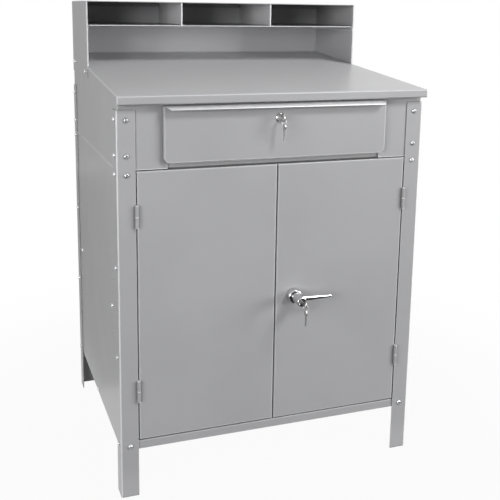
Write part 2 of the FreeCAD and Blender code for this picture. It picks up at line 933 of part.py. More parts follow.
def drawer_tray():
    """Folded trough of the drawer, whose out-turned top flanges ride in the runners."""
    flange_under = tray_top - panel_sheet
    flange_out = tray_half + tray_flange - panel_sheet
    path = [
        (-flange_out, tray_top - tray_lip),
        (-flange_out, flange_under),
        (-tray_half, flange_under),
        (-tray_half, tray_bottom),
        (tray_half, tray_bottom),
        (tray_half, flange_under),
        (flange_out, flange_under),
        (flange_out, tray_top - tray_lip),
    ]
    return folded_along_y(path, panel_sheet, panel_bend, tray_front, tray_rear)


def tray_end(y_low):
    """End wall between the tray's sides, its lower corners cut clear of the bends."""
    half = tray_half - panel_sheet
    low = tray_bottom + panel_sheet
    high = tray_top - panel_sheet - panel_bend
    wall = block(-half, half, y_low, y_low + panel_sheet, low, high)
    corners = [
        edge for edge in wall.Edges
        if abs(edge.tangentAt(edge.FirstParameter).y) > 1 / 2
        and edge.Vertexes[0].Point.z < (low + high) / 2
    ]
    return wall.makeChamfer(panel_bend + seat_clearance, corners)


def drawer_tray_front():
    """Front wall of the tray, behind the drawer front and holed for the lock."""
    lock_hole = hole_y(
        0, drawer_lock_height, lock_body_radius + lock_hole_clearance,
        tray_front, tray_front + panel_sheet,
    )
    return tray_end(tray_front).cut(lock_hole)


def drawer_pull():
    """Bright full-width pull: a plate on the drawer front's top with slanted ends and a lip."""
    top = drawer_top + pull_sheet
    front = drawer_face - pull_reach
    path = [
        (drawer_face + pull_seat, top),
        (front, top),
        (front, top - pull_lip),
    ]
    strip = folded_along_x(path, pull_sheet, pull_bend, -pull_half, pull_half)
    bottom = top - pull_lip - cut_overrun
    height = pull_lip + 2 * cut_overrun
    cutters = []
    for side in (-1, 1):
        outline = [
            Vec(side * pull_half, drawer_face, bottom),
            Vec(side * (pull_half - pull_end_slant), front - match_tolerance, bottom),
            Vec(side * (pull_half + cut_overrun), front - match_tolerance, bottom),
            Vec(side * (pull_half + cut_overrun), drawer_face, bottom),
        ]
        cutters.append(Part.Face(Part.makePolygon(outline + outline[:1])).extrude(Vec(0, 0, height)))
    return strip.cut(cutters)


def keyed_plug(radius, length):
    """Lock plug along +Z from its face at the origin downwards, slotted for a key."""
    plug = rod_along(Vec(0, 0, -1), Vec(0, 0, 0), radius, length)
    slot_half = key_thick / 2 + keyway_clearance
    reach = key_blade_half + keyway_clearance
    return plug.cut(block(-slot_half, slot_half, -reach, reach, -key_insert, cut_overrun))


def lock_body():
    """Cam lock's housing: a bevelled bezel and a barrel through the drawer front."""
    length = lock_rear - drawer_face
    bore = lock_plug_radius + running_clearance
    bevel = lock_bezel_radius - lock_bezel_bevel
    outline = [
        (bore, lock_bezel_thick), (bevel, lock_bezel_thick),
        (lock_bezel_radius, lock_bezel_thick - lock_bezel_bevel), (lock_bezel_radius, 0),
        (lock_body_radius, 0), (lock_body_radius, -length), (bore, -length),
    ]
    return facing(revolved(outline), Vec(0, drawer_face, drawer_lock_height), Vec(0, -1, 0))


def lock_nut():
    """Nut that clamps the lock behind the tray's front wall."""
    bore = lock_body_radius + running_clearance
    body = hexagon_prism(lock_nut_flats, lock_nut_thick)
    ring = body.cut(rod_along(Vec(0, 0, 1), Vec(0, 0, -cut_overrun), bore, lock_nut_thick + 2 * cut_overrun))
    return facing(ring, Vec(0, tray_front + panel_sheet, drawer_lock_height), Vec(0, 1, 0))


def upright(shape, point):
    """Turn a shape built along +Z so that +Z faces the front and its +Y stays up."""
    placed = shape.copy()
    turn = FreeCAD.Rotation(Vec(1, 0, 0), Vec(0, 0, 1), Vec(0, -1, 0), "XYZ")
    placed.Placement = FreeCAD.Placement(point, turn).multiply(shape.Placement)
    return placed


def drawer_lock_plug():
    """Plug through the whole drawer lock, a little proud of the bezel."""
    face = lock_face - plug_proud
    return upright(keyed_plug(lock_plug_radius, cam_front - face), Vec(0, face, drawer_lock_height))


def drawer_lock_cam():
    """Flat cam on the plug's end; it points left and swings up behind the housing front."""
    hub = rod_along(Vec(0, 1, 0), Vec(0, cam_front, drawer_lock_height), lock_plug_radius, cam_thick)
    arm = block(
        -cam_reach, 0, cam_front, cam_front + cam_thick,
        drawer_lock_height - cam_half_width, drawer_lock_height + cam_half_width,
    )
    return joined(hub, arm)


def flat_key():
    """Key in the plane of X and Y, its bow's end at the origin and its tip along +X."""
    half = key_thick / 2
    bow = rod_along(Vec(0, 0, 1), Vec(key_bow_radius, 0, -half), key_bow_radius, key_thick)
    blade = block(key_bow_radius, key_length, -key_blade_half, key_blade_half, -half, half)
    corners = [
        edge for edge in blade.Edges
        if all(abs(vertex.Point.x - key_length) < match_tolerance for vertex in edge.Vertexes)
        and abs(edge.Vertexes[0].Point.z - edge.Vertexes[-1].Point.z) > match_tolerance
    ]
    blade = blade.makeChamfer(key_notch_depth, corners)
    cutters = [hole_cut(key_hole_inset, key_hole_radius)]
    for index in range(key_notch_count):
        x_place = key_length - key_notch_pitch * (index + 1)
        points = [
            Vec(x_place - key_notch_depth, key_blade_half, -key_thick),
            Vec(x_place, key_blade_half - key_notch_depth, -key_thick),
            Vec(x_place + key_notch_depth, key_blade_half, -key_thick),
        ]
        cutters.append(Part.Face(Part.makePolygon(points + points[:1])).extrude(Vec(0, 0, 2 * key_thick)))
    return joined(bow, blade).cut(cutters)


def hole_cut(x_place, radius):
    """Cutter through a flat key."""
    return rod_along(Vec(0, 0, 1), Vec(x_place, 0, -cut_overrun), radius, 2 * cut_overrun)


def placed_key(bow_end, along):
    """Key with its flat upright across X, running along a direction in the plane of Y and Z."""
    key = flat_key()
    side = Vec(1, 0, 0)
    key.Placement = FreeCAD.Placement(
        bow_end, FreeCAD.Rotation(along, side.cross(along), side, "XYZ"),
    )
    return key


def hanging_hole(face):
    """Y of the hole in an inserted key's bow, for a plug's face at one y."""
    return face - key_stand_off + key_hole_inset


def inserted_key(x_place, face, height):
    """Key pushed into a plug whose face is at one y."""
    return placed_key(Vec(x_place, face - key_stand_off, height), Vec(0, 1, 0)), hanging_hole(face)


def key_ring(x_place, y_place, height):
    """Ring that hangs through an inserted key's bow."""
    centre = Vec(x_place, y_place, height - ring_hang - ring_radius)
    return Part.makeTorus(ring_radius, ring_wire_radius, centre, Vec(0, 1, 0))


def spare_key(x_place, y_place, height):
    """Second key hanging from the ring's lowest point."""
    wire = height - ring_hang - 2 * ring_radius
    bow_end = Vec(x_place, y_place, wire - ring_hang + key_hole_inset)
    return placed_key(bow_end, Vec(0, 0, -1))


# Doors

def door_blank():
    """Left door: a pan with return lips all round its open back."""
    x_low = -door_edge
    x_high = -door_centre_gap / 2
    outer = block(x_low, x_high, leg_front, door_back, door_bottom, door_top)
    outer = outer.makeFillet(panel_bend + panel_sheet, front_edges(outer, leg_front))
    skin_back = leg_front + panel_sheet
    inner = block(
        x_low + panel_sheet, x_high - panel_sheet, skin_back, door_back - panel_sheet,
        door_bottom + panel_sheet, door_top - panel_sheet,
    )
    inner = inner.makeFillet(panel_bend, front_edges(inner, skin_back))
    window = block(
        x_low + door_lip, x_high - door_lip, door_back - panel_sheet - cut_overrun,
        door_back + cut_overrun, door_bottom + door_lip, door_top - door_lip,
    )
    return outer.cut([inner, window])


def right_door_panel():
    """Right door, drilled for the handle's spindle."""
    spindle_hole = hole_y(
        handle_x, handle_height, spindle_hole_radius, leg_front, leg_front + panel_sheet,
    )
    return mirrored(door_blank()).cut(spindle_hole)


def knuckle(z_low, z_high):
    """Left hinge knuckle about the pin's axis, not yet bored."""
    return rod_along(Vec(0, 0, 1), Vec(-hinge_x, hinge_y, z_low), hinge_barrel_radius, z_high - z_low)


def pin_bore(z_low, z_high, clearance):
    """Cutter for the hinge pin."""
    start = Vec(-hinge_x, hinge_y, z_low - cut_overrun)
    length = z_high - z_low + 2 * cut_overrun
    return rod_along(Vec(0, 0, 1), start, hinge_pin_radius + clearance, length)


def leg_hinge_leaf(centre_height):
    """Lower knuckle with a leaf that passes the door's gap and turns behind the leg."""
    z_low = centre_height - hinge_height / 2
    z_high = centre_height - hinge_knuckle_gap / 2
    leg_edge = -leg_half + leg_flange + hinge_leaf_gap
    path = [
        (leg_edge - hinge_leaf_flange, panel_front),
        (leg_edge, panel_front),
        (leg_edge, hinge_y),
    ]
    leaf = folded_along_z(path, hinge_leaf_sheet, hinge_leaf_gap, z_low, z_high)
    return joined(leaf, knuckle(z_low, z_high)).cut(pin_bore(z_low, z_high, 0))


def door_hinge_leaf(centre_height):
    """Upper knuckle with a leaf along the door's edge."""
    z_low = centre_height + hinge_knuckle_gap / 2
    z_high = centre_height + hinge_height / 2
    leaf = block(-door_edge - hinge_leaf_sheet, -door_edge, hinge_y, door_back, z_low, z_high)
    return joined(leaf, knuckle(z_low, z_high)).cut(pin_bore(z_low, z_high, running_clearance))


def hinge_pin(centre_height):
    """Pin through both knuckles of one hinge."""
    length = hinge_height - 2 * hinge_pin_inset
    start = Vec(-hinge_x, hinge_y, centre_height - length / 2)
    return rod_along(Vec(0, 0, 1), start, hinge_pin_radius, length)


def left_pair(make):
    """One piece for each hinge of the left door."""
    return Part.makeCompound([make(height) for height in hinge_heights])


# Handle

def handle_rose():
    """Round collar that carries the handle on the door."""
    body = rod_along(Vec(0, 0, 1), Vec(0, 0, 0), rose_radius, rose_height)
    rim = [
        edge for edge in body.Edges
        if all(abs(vertex.Point.z - rose_height) < match_tolerance for vertex in edge.Vertexes)
    ]
    body = body.makeFillet(rose_rim_radius, rim)
    bore = rod_along(
        Vec(0, 0, 1), Vec(0, 0, -cut_overrun), shank_radius + running_clearance,
        rose_height + 2 * cut_overrun,
    )
    return facing(body.cut(bore), Vec(handle_x, leg_front, handle_height), Vec(0, -1, 0))


def square_bar(half, y_low, y_high):
    """Square bar along Y on the handle's axis."""
    return block(
        handle_x - half, handle_x + half, y_low, y_high, handle_height - half, handle_height + half,
    )


def lever_arm():
    """Arm of the lever, tapering from an oval root in the hub to a ball-ended tip."""
    root = Vec(handle_x, hub_front + lever_setback, handle_height)
    tip = root + Vec(lever_length - lever_tip_radius, 0, 0)
    oval = Part.Ellipse(root + Vec(0, 0, lever_root_half), root + Vec(0, lever_root_depth_half, 0), root)
    end = Part.Circle(tip, Vec(1, 0, 0), lever_tip_radius)
    arm = Part.makeLoft([Part.Wire(oval.toShape()), Part.Wire(end.toShape())], True, True)
    return arm.fuse(Part.makeSphere(lever_tip_radius, tip))


def handle_lever():
    """Hub and arm in one casting, bored for the lock plug and socketed for the spindle."""
    hub = rod_along(Vec(0, 0, 1), Vec(0, 0, 0), hub_radius, hub_length)
    rim = [
        edge for edge in hub.Edges
        if all(abs(vertex.Point.z - hub_length) < match_tolerance for vertex in edge.Vertexes)
    ]
    hub = facing(
        hub.makeFillet(hub_rim_radius, rim), Vec(handle_x, hub_back, handle_height), Vec(0, -1, 0),
    )
    shank_end = leg_front - shank_inset
    shank = rod_along(
        Vec(0, 1, 0), Vec(handle_x, hub_back - hub_gap, handle_height), shank_radius,
        shank_end - hub_back + hub_gap,
    )
    bore = rod_along(
        Vec(0, 1, 0), Vec(handle_x, hub_front - cut_overrun, handle_height),
        handle_plug_radius + running_clearance, handle_plug_depth + cut_overrun,
    )
    socket = square_bar(
        spindle_width / 2 + running_clearance, shank_end - spindle_engagement, shank_end + cut_overrun,
    )
    return joined(hub, lever_arm(), shank).cut([bore, socket])


def handle_spindle():
    """Square spindle from the hub to the latch cam, tapped for its screw."""
    bar = square_bar(spindle_width / 2, leg_front - shank_inset - spindle_engagement, latch_rear)
    tapping = rod_along(
        Vec(0, -1, 0), Vec(handle_x, latch_rear + cut_overrun, handle_height),
        screw_radius + running_clearance, screw_length + running_clearance + cut_overrun,
    )
    return bar.cut(tapping)


def spindle_screw():
    """Screw that keeps the latch cam on the spindle."""
    seat = Vec(handle_x, latch_rear, handle_height)
    head = rod_along(Vec(0, 1, 0), seat, screw_head_radius, screw_head_height)
    shank = rod_along(Vec(0, -1, 0), seat, screw_radius, screw_length)
    return joined(head, shank)


def handle_plug():
    """Lock plug in the handle's hub."""
    face = hub_front - plug_proud
    length = handle_plug_depth + plug_proud - running_clearance
    return upright(keyed_plug(handle_plug_radius, length), Vec(handle_x, face, handle_height))


def crank_pin_place(side):
    """Where a crank pin stands with the handle at rest: side -1 drives the upper rod."""
    return Vec(handle_x + side * crank_rise, latch_front, handle_height + side * crank_rise)


def latch_cam():
    """Cam behind the door: a tongue hanging down and two arms with crank pins for the rods."""
    centre = Vec(handle_x, latch_front, handle_height)
    hub = rod_along(Vec(0, 1, 0), centre, latch_hub_radius, latch_thick)
    tongue = block(
        handle_x - tongue_half_width, handle_x + tongue_half_width, latch_front, latch_rear,
        handle_height - tongue_length, handle_height,
    )
    arms = block(
        -crank_radius, crank_radius, 0, latch_thick, -crank_arm_half_width, crank_arm_half_width,
    )
    arms.Placement = FreeCAD.Placement(centre, FreeCAD.Rotation(Vec(0, 1, 0), -45))
    pieces = [tongue, arms]
    for side in (-1, 1):
        place = crank_pin_place(side)
        pieces.append(rod_along(Vec(0, 1, 0), place, crank_arm_half_width, latch_thick))
        pin_length = latch_thick + rod_gap + rod_thick + rod_gap
        pieces.append(rod_along(Vec(0, 1, 0), place, crank_pin_radius, pin_length))
    eye = square_bar(
        spindle_width / 2 + running_clearance, latch_front - cut_overrun, latch_rear + cut_overrun,
    )
    return joined(hub, *pieces).cut(eye)


def lock_rod(side, tip):
    """Flat lock rod: an end plate slotted for the crank pin and a bar to the door's end."""
    x_place = handle_x + side * crank_middle
    z_place = handle_height + side * crank_rise
    plate = block(
        x_place - rod_plate_half_width, x_place + rod_plate_half_width, rod_front, rod_rear,
        z_place - rod_plate_half_height, z_place + rod_plate_half_height,
    )
    bar = block(
        x_place - rod_width / 2, x_place + rod_width / 2, rod_front, rod_rear,
        min(tip, z_place), max(tip, z_place),
    )
    slot_half_width = (crank_radius - crank_rise) / 2 + crank_pin_radius + rod_slot_end_play
    slot_half_height = crank_pin_radius + rod_slot_play
    slot = block(
        x_place - slot_half_width, x_place + slot_half_width,
        rod_front - cut_overrun, rod_rear + cut_overrun,
        z_place - slot_half_height, z_place + slot_half_height,
    )
    return joined(plate, bar).cut(slot)


def rod_guide(side, height):
    """Angle bracket on the door's inside with a slot that the rod slides through."""
    x_place = handle_x + side * crank_middle
    skin_back = leg_front + panel_sheet
    tail = rod_rear + guide_tail
    path = [
        (skin_back, height - side * guide_base),
        (skin_back, height),
        (tail, height),
    ]
    ordered = path if side < 0 else path[::-1]
    bracket = folded_along_x(
        ordered, guide_sheet, guide_bend, x_place - guide_half_width, x_place + guide_half_width,
    )
    slot = block(
        x_place - rod_width / 2 - guide_play, x_place + rod_width / 2 + guide_play,
        rod_front - guide_play, rod_rear + guide_play,
        height - guide_base, height + guide_base,
    )
    return bracket.cut(slot)


def rod_guides():
    """Both rod guides of the right door."""
    return Part.makeCompound([
        rod_guide(-1, door_top - upper_guide_drop),
        rod_guide(1, door_bottom + lower_guide_rise),
    ])


# Assembly

def carcass_pieces():
    """Legs, cabinet, housing, worktop, riser and their fasteners."""
    front_leg = leg(lower_face_bolts + housing_bolts)
    rear_leg = turned_end(leg(lower_bolts + housing_bolts))
    left_side = lower_side()
    left_housing = housing_side()
    right_runner = runner()
    left_riser = riser_side()
    return {
        "leg_front_left": front_leg,
        "leg_front_right": mirrored(front_leg),
        "leg_rear_left": rear_leg,
        "leg_rear_right": mirrored(rear_leg),
        "lower_side_left": left_side,
        "lower_side_right": mirrored(left_side),
        "lower_back": lower_back(),
        "bottom_shelf": bottom_shelf(),
        "middle_shelf": middle_shelf(),
        "front_rail": front_rail(),
        "housing_side_left": left_housing,
        "housing_side_right": mirrored(left_housing),
        "housing_front": housing_front(),
        "housing_back": housing_back(),
        "worktop": worktop(),
        "runner_left": mirrored(right_runner),
        "runner_right": right_runner,
        "riser_side_left": left_riser,
        "riser_side_right": mirrored(left_riser),
        "riser_back": riser_back(),
        "riser_top": riser_top(),
        "riser_shelf": riser_shelf(),
        "riser_divider_left": riser_divider(-1),
        "riser_divider_right": riser_divider(1),
        "bolts": bolts(),
        "nuts": nuts(),
    }


def door_pieces():
    """Both doors, their hinges, the handle and the latch."""
    leg_leaves = left_pair(leg_hinge_leaf)
    door_leaves = left_pair(door_hinge_leaf)
    pins = left_pair(hinge_pin)
    return {
        "left_hinge_leg_leaves": leg_leaves,
        "right_hinge_leg_leaves": mirrored(leg_leaves),
        "left_hinge_pins": pins,
        "right_hinge_pins": mirrored(pins),
        "left_door_panel": door_blank(),
        "left_hinge_door_leaves": door_leaves,
        "right_door_panel": right_door_panel(),
        "right_hinge_door_leaves": mirrored(door_leaves),
        "handle_rose": handle_rose(),
        "rod_guides": rod_guides(),
        "handle_lever": handle_lever(),
        "handle_spindle": handle_spindle(),
        "spindle_screw": spindle_screw(),
        "latch_cam": latch_cam(),
        "upper_rod": lock_rod(-1, rail_bottom - upper_rod_clearance),
        "lower_rod": lock_rod(1, bottom_shelf_top + lower_rod_clearance),
    }


def drawer_pieces():
    """Drawer and its lock body."""
    return {
        "drawer_front": drawer_front(),
        "drawer_tray": drawer_tray(),
        "drawer_tray_front": drawer_tray_front(),
        "drawer_tray_back": tray_end(tray_rear - panel_sheet),
        "drawer_pull": drawer_pull(),
        "drawer_lock_body": lock_body(),
        "drawer_lock_nut": lock_nut(),
        "drawer_lock_plug": drawer_lock_plug(),
        "drawer_lock_cam": drawer_lock_cam(),
    }


def key_pieces(name, x_place, face, height):
    """Inserted key, its ring and the spare key of one lock."""
    key, hole = inserted_key(x_place, face, height)
    return {
        name + "_key": key,
        name + "_key_ring": key_ring(x_place, hole, height),
        name + "_spare_key": spare_key(x_place, hole, height),
    }


def all_pieces():
    """Every node of the desk, moved so that the origin is the middle of its base."""
    pieces = {}
    pieces.update(carcass_pieces())
    pieces.update(door_pieces())
    pieces.update(drawer_pieces())
    pieces["handle_lock_plug"] = handle_plug()
    pieces.update(key_pieces("drawer", 0, lock_face - plug_proud, drawer_lock_height))
    pieces.update(key_pieces("handle", handle_x, hub_front - plug_proud, handle_height))
    front = hanging_hole(hub_front - plug_proud) - key_bow_radius
    rear = leg_rear + bolt_head_height
    shift = Vec(0, -(front + rear) / 2, 0)
    for shape in pieces.values():
        shape.translate(shift)
    return pieces, shift


desk, origin_shift = all_pieces()
os.makedirs("parts", exist_ok=True)
for node, solid in desk.items():
    solid.exportStep("parts/" + node + ".step")
print(len(desk), "nodes written")
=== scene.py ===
"""Looks for the steel workshop desk: finishes, fine pieces, studio and camera."""

import json
import logging
import math
from dataclasses import dataclass
from enum import Enum
from typing import Callable, Dict, List, Optional, Tuple, Union

import bmesh
import bpy
from mathutils import Matrix, Vector


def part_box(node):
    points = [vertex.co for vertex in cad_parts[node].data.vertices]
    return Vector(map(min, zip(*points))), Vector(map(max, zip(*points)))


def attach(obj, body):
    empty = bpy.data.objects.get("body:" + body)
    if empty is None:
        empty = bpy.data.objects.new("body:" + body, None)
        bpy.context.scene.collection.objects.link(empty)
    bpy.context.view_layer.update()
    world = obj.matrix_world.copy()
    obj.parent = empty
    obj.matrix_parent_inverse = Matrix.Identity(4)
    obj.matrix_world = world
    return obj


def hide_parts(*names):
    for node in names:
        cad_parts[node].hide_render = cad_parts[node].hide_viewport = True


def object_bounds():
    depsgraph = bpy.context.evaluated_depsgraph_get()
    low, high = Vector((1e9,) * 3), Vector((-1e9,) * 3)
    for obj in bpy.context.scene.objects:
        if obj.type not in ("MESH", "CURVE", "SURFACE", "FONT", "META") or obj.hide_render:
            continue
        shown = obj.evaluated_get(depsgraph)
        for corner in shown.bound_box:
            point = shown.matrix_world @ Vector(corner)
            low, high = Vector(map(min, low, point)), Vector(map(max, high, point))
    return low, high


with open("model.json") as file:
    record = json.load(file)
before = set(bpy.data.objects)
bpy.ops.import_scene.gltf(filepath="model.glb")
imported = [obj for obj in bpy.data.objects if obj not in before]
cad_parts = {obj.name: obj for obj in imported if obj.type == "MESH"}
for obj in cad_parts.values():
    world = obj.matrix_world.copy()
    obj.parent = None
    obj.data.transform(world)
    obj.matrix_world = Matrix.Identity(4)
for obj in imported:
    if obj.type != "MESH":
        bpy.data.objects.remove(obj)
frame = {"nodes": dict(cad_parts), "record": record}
CAD_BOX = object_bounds()

LOG = logging.getLogger("workshop_desk")
Pair = Tuple[float, float]
Triple = Tuple[float, float, float]
Colour = Tuple[float, float, float]
Node = bpy.types.Node

WHITE = (1.0, 1.0, 1.0, 1.0)
BLACK = (0.0, 0.0, 0.0, 1.0)
SAME_PLACE = 1e-6
SAME_CORNER = 1e-5
SMOOTH_ANGLE = 35.0


class Slot(Enum):
    """Material slots of the record."""

    PAINT = "grey_paint"
    CHROME = "chrome"
    PULL = "bright_aluminium"
    ZINC = "zinc_steel"
    STEEL = "plain_steel"


class Body(Enum):
    """Bodies that new pieces ride on."""

    CARCASS = "carcass"
    DRAWER = "drawer"


class NodeBench:
    """Adds and links shader nodes in one node tree."""

    def __init__(self, tree: bpy.types.NodeTree) -> None:
        """Empty the tree.

        Args:
            tree: Node tree of a material or of the world.
        """
        self.tree = tree
        self.tree.nodes.clear()

    @staticmethod
    def fill(node: Node, **sockets: object) -> None:
        """Set input sockets of a node.

        Args:
            node: The node.
            sockets: Values by socket name, with underscores for spaces.
        """
        for name, value in sockets.items():
            node.inputs[name.replace("_", " ")].default_value = value

    def add(self, kind: str, **sockets: object) -> Node:
        """Add a node and set its input sockets.

        Args:
            kind: Blender's type name of the node.
            sockets: Values by socket name, with underscores for spaces.

        Returns:
            The new node.
        """
        node = self.tree.nodes.new(kind)
        self.fill(node, **sockets)
        return node

    def link(self, source: Node, out: str, target: Node, into: Union[str, int]) -> None:
        """Link an output socket to an input socket.

        Args:
            source: Node that is read.
            out: Name of its output socket.
            target: Node that reads.
            into: Name or number of its input socket.
        """
        self.tree.links.new(source.outputs[out], target.inputs[into])

    def operate(self, kind: str, operation: str, *sources: Tuple[Node, str]) -> Node:
        """Add a math node and link its inputs in order.

        Args:
            kind: Blender's type name of the node.
            operation: What the node works out.
            sources: Nodes to read, each with the name of its output socket.

        Returns:
            The new node.
        """
        node = self.add(kind)
        node.operation = operation
        for index, (source, out) in enumerate(sources):
            self.link(source, out, node, index)
        return node

    def seen(self) -> Node:
        """Node that is 1 for camera, mirror and see-through rays.

        Returns:
            Math node with a Value output.
        """
        rays = self.add("ShaderNodeLightPath")
        plain = self.operate(
            "ShaderNodeMath", "MAXIMUM", (rays, "Is Camera Ray"), (rays, "Is Glossy Ray"),
        )
        return self.operate(
            "ShaderNodeMath", "MAXIMUM", (plain, "Value"), (rays, "Is Transmission Ray"),
        )

    def blended(self, factor: Node, low: Tuple[Node, str], high: Tuple[Node, str]) -> Node:
        """Mix two shaders.

        Args:
            factor: Node with a Value output, 0 for the first shader and 1 for the second.
            low: First shader, with the name of its output socket.
            high: Second shader, with the name of its output socket.

        Returns:
            Node with a Shader output.
        """
        node = self.add("ShaderNodeMixShader")
        self.link(factor, "Value", node, "Fac")
        self.link(*low, node, 1)
        self.link(*high, node, 2)
        return node


class MaterialBench(NodeBench):
    """Node bench of one new material, with masks and textures on Object coordinates."""

    EDGE_SAMPLES = 8
    EDGE_START = 0.995
    CREVICE_SAMPLES = 6
    CREVICE_RANGE = (0.92, 0.5)
    UPWARD_RANGE = (0.4, 0.9)
    LINE_CORE = 0.6
    NOISE_RANGE = (0.25, 0.75)
    BEVEL_SAMPLES = 4

    def __init__(self, name: str) -> None:
        """Start an empty material.

        Args:
            name: Name of the material.
        """
        self.material = bpy.data.materials.new(name)
        self.material.use_nodes = True
        super().__init__(self.material.node_tree)
        self.output = self.add("ShaderNodeOutputMaterial")
        self.shader = self.add("ShaderNodeBsdfPrincipled")
        self.link(self.shader, "BSDF", self.output, "Surface")
        self.place = self.add("ShaderNodeTexCoord")

    def stretched(self, scale: Triple) -> Node:
        """Object coordinates stretched along the axes.

        Args:
            scale: Factor along X, Y and Z.

        Returns:
            The mapping node.
        """
        mapping = self.add("ShaderNodeMapping", Scale=scale)
        self.link(self.place, "Object", mapping, "Vector")
        return mapping

    def noise(self, cells: float, detail: float, source: Optional[Node] = None) -> Node:
        """Noise texture on Object coordinates.

        Args:
            cells: Size of the noise, in cells per metre.
            detail: Octaves.
            source: Mapping node to read in place of plain coordinates.

        Returns:
            The noise node.
        """
        texture = self.add("ShaderNodeTexNoise", Scale=cells, Detail=detail)
        if source is None:
            self.link(self.place, "Object", texture, "Vector")
        else:
            self.link(source, "Vector", texture, "Vector")
        return texture

    def ramp(self, source: Node, stops: Pair, dark: Colour, light: Colour) -> Node:
        """Colour ramp from a noise's factor.

        Args:
            source: Node with a Fac output.
            stops: Positions of the dark and the light stop.
            dark: Colour at and below the dark stop.
            light: Colour at and above the light stop.

        Returns:
            The ramp node.
        """
        node = self.add("ShaderNodeValToRGB")
        for element, stop, colour in zip(node.color_ramp.elements, stops, (dark, light)):
            element.position = stop
            element.color = (*colour, 1.0)
        self.link(source, "Fac", node, "Fac")
        return node

    def mapped(self, source: Node, out: str, reads: Pair, gives: Pair) -> Node:
        """Map one range of numbers to another and hold its ends.

        Args:
            source: Node that is read.
            out: Name of its output socket.
            reads: Start and end of the range that is read.
            gives: Values at that start and end.

        Returns:
            Node with a Result output.
        """
        node = self.add(
            "ShaderNodeMapRange",
            From_Min=reads[0], From_Max=reads[1], To_Min=gives[0], To_Max=gives[1],
        )
        self.link(source, out, node, "Value")
        return node

    def span(self, source: Node, low: float, high: float) -> Node:
        """Map a noise's factor to a range of numbers.

        Args:
            source: Node with a Fac output.
            low: Value at the start of the noise's usual range.
            high: Value at its end.

        Returns:
            Node with a Result output.
        """
        return self.mapped(source, "Fac", self.NOISE_RANGE, (low, high))

    def edge_mask(self, radius: float, sharpness: float, strength: float) -> Node:
        """Mask that grows where the surface turns within a radius, as along bends and rims.

        Args:
            radius: How far round a point the surface is felt, in metres.
            sharpness: Loss of alignment at which the mask is full.
            strength: Value of a full mask.

        Returns:
            Node with a Result output.
        """
        rounded = self.add("ShaderNodeBevel", Radius=radius)
        rounded.samples = self.EDGE_SAMPLES
        surface = self.add("ShaderNodeNewGeometry")
        match = self.operate(
            "ShaderNodeVectorMath", "DOT_PRODUCT", (rounded, "Normal"), (surface, "Normal"),
        )
        return self.mapped(match, "Value", (self.EDGE_START, 1.0 - sharpness), (0.0, strength))

    def crevice_mask(self, reach: float, strength: float) -> Node:
        """Mask that grows in seams and corners, where little light gets in.

        Args:
            reach: How far round a point other surfaces are felt, in metres.
            strength: Value of a full mask.

        Returns:
            Node with a Result output.
        """
        shade = self.add("ShaderNodeAmbientOcclusion", Distance=reach)
        shade.samples = self.CREVICE_SAMPLES
        return self.mapped(shade, "AO", self.CREVICE_RANGE, (0.0, strength))

    def height_mask(self, heights: Pair, strength: float) -> Node:
        """Mask that starts at one height and is full at another.

        Args:
            heights: Heights at which the mask starts and is full, in metres.
            strength: Value of a full mask.

        Returns:
            Node with a Result output.
        """
        parts = self.add("ShaderNodeSeparateXYZ")
        self.link(self.place, "Object", parts, "Vector")
        return self.mapped(parts, "Z", heights, (0.0, strength))

    def upward_mask(self) -> Node:
        """Mask of the surfaces that face up.

        Returns:
            Node with a Result output.
        """
        surface = self.add("ShaderNodeNewGeometry")
        parts = self.add("ShaderNodeSeparateXYZ")
        self.link(surface, "Normal", parts, "Vector")
        return self.mapped(parts, "Z", self.UPWARD_RANGE, (0.0, 1.0))

    def line_mask(self, place: Pair, reach: float, strength: float) -> Node:
        """Mask round an upright line.

        Args:
            place: X and Y of the line, in metres.
            reach: Distance from the line at which the mask ends.
            strength: Value of a full mask.

        Returns:
            Node with a Result output.
        """
        offset = self.operate("ShaderNodeVectorMath", "SUBTRACT", (self.place, "Object"))
        offset.inputs[1].default_value = (*place, 0.0)
        level = self.operate("ShaderNodeVectorMath", "MULTIPLY", (offset, "Vector"))
        level.inputs[1].default_value = (1.0, 1.0, 0.0)
        distance = self.operate("ShaderNodeVectorMath", "LENGTH", (level, "Vector"))
        return self.mapped(distance, "Value", (reach, reach * self.LINE_CORE), (0.0, strength))

    def mixed(self, factor: Node, base: Node, colour: Colour) -> Node:
        """Mix a colour over another by a mask.

        Args:
            factor: Mask node with a Result output.
            base: Node with a Color output.
            colour: Colour where the mask is full.

        Returns:
            Node with a Color output.
        """
        node = self.add("ShaderNodeMixRGB", Color2=(*colour, 1.0))
        self.link(factor, "Result", node, "Fac")
        self.link(base, "Color", node, "Color1")
        return node

    def rounded_bump(self, source: Node, strength: float, height: float, radius: float) -> None:
        """Give the shader a bump from a noise's factor, over softly rounded edges.

        Args:
            source: Node with a Fac output.
            strength: Share of the bump that is used.
            height: Height of the bump in metres.
            radius: Radius of the edges in metres.
        """
        bevel = self.add("ShaderNodeBevel", Radius=radius)
        bevel.samples = self.BEVEL_SAMPLES
        bump = self.add("ShaderNodeBump", Strength=strength, Distance=height)
        self.link(source, "Fac", bump, "Height")
        self.link(bevel, "Normal", bump, "Normal")
        self.link(bump, "Normal", self.shader, "Normal")


def scaled(colour: Colour, factor: float) -> Colour:
    """Make a colour lighter or darker.

    Args:
        colour: The colour.
        factor: What each of its parts is multiplied by.

    Returns:
        The new colour.
    """
    red, green, blue = colour
    return red * factor, green * factor, blue * factor


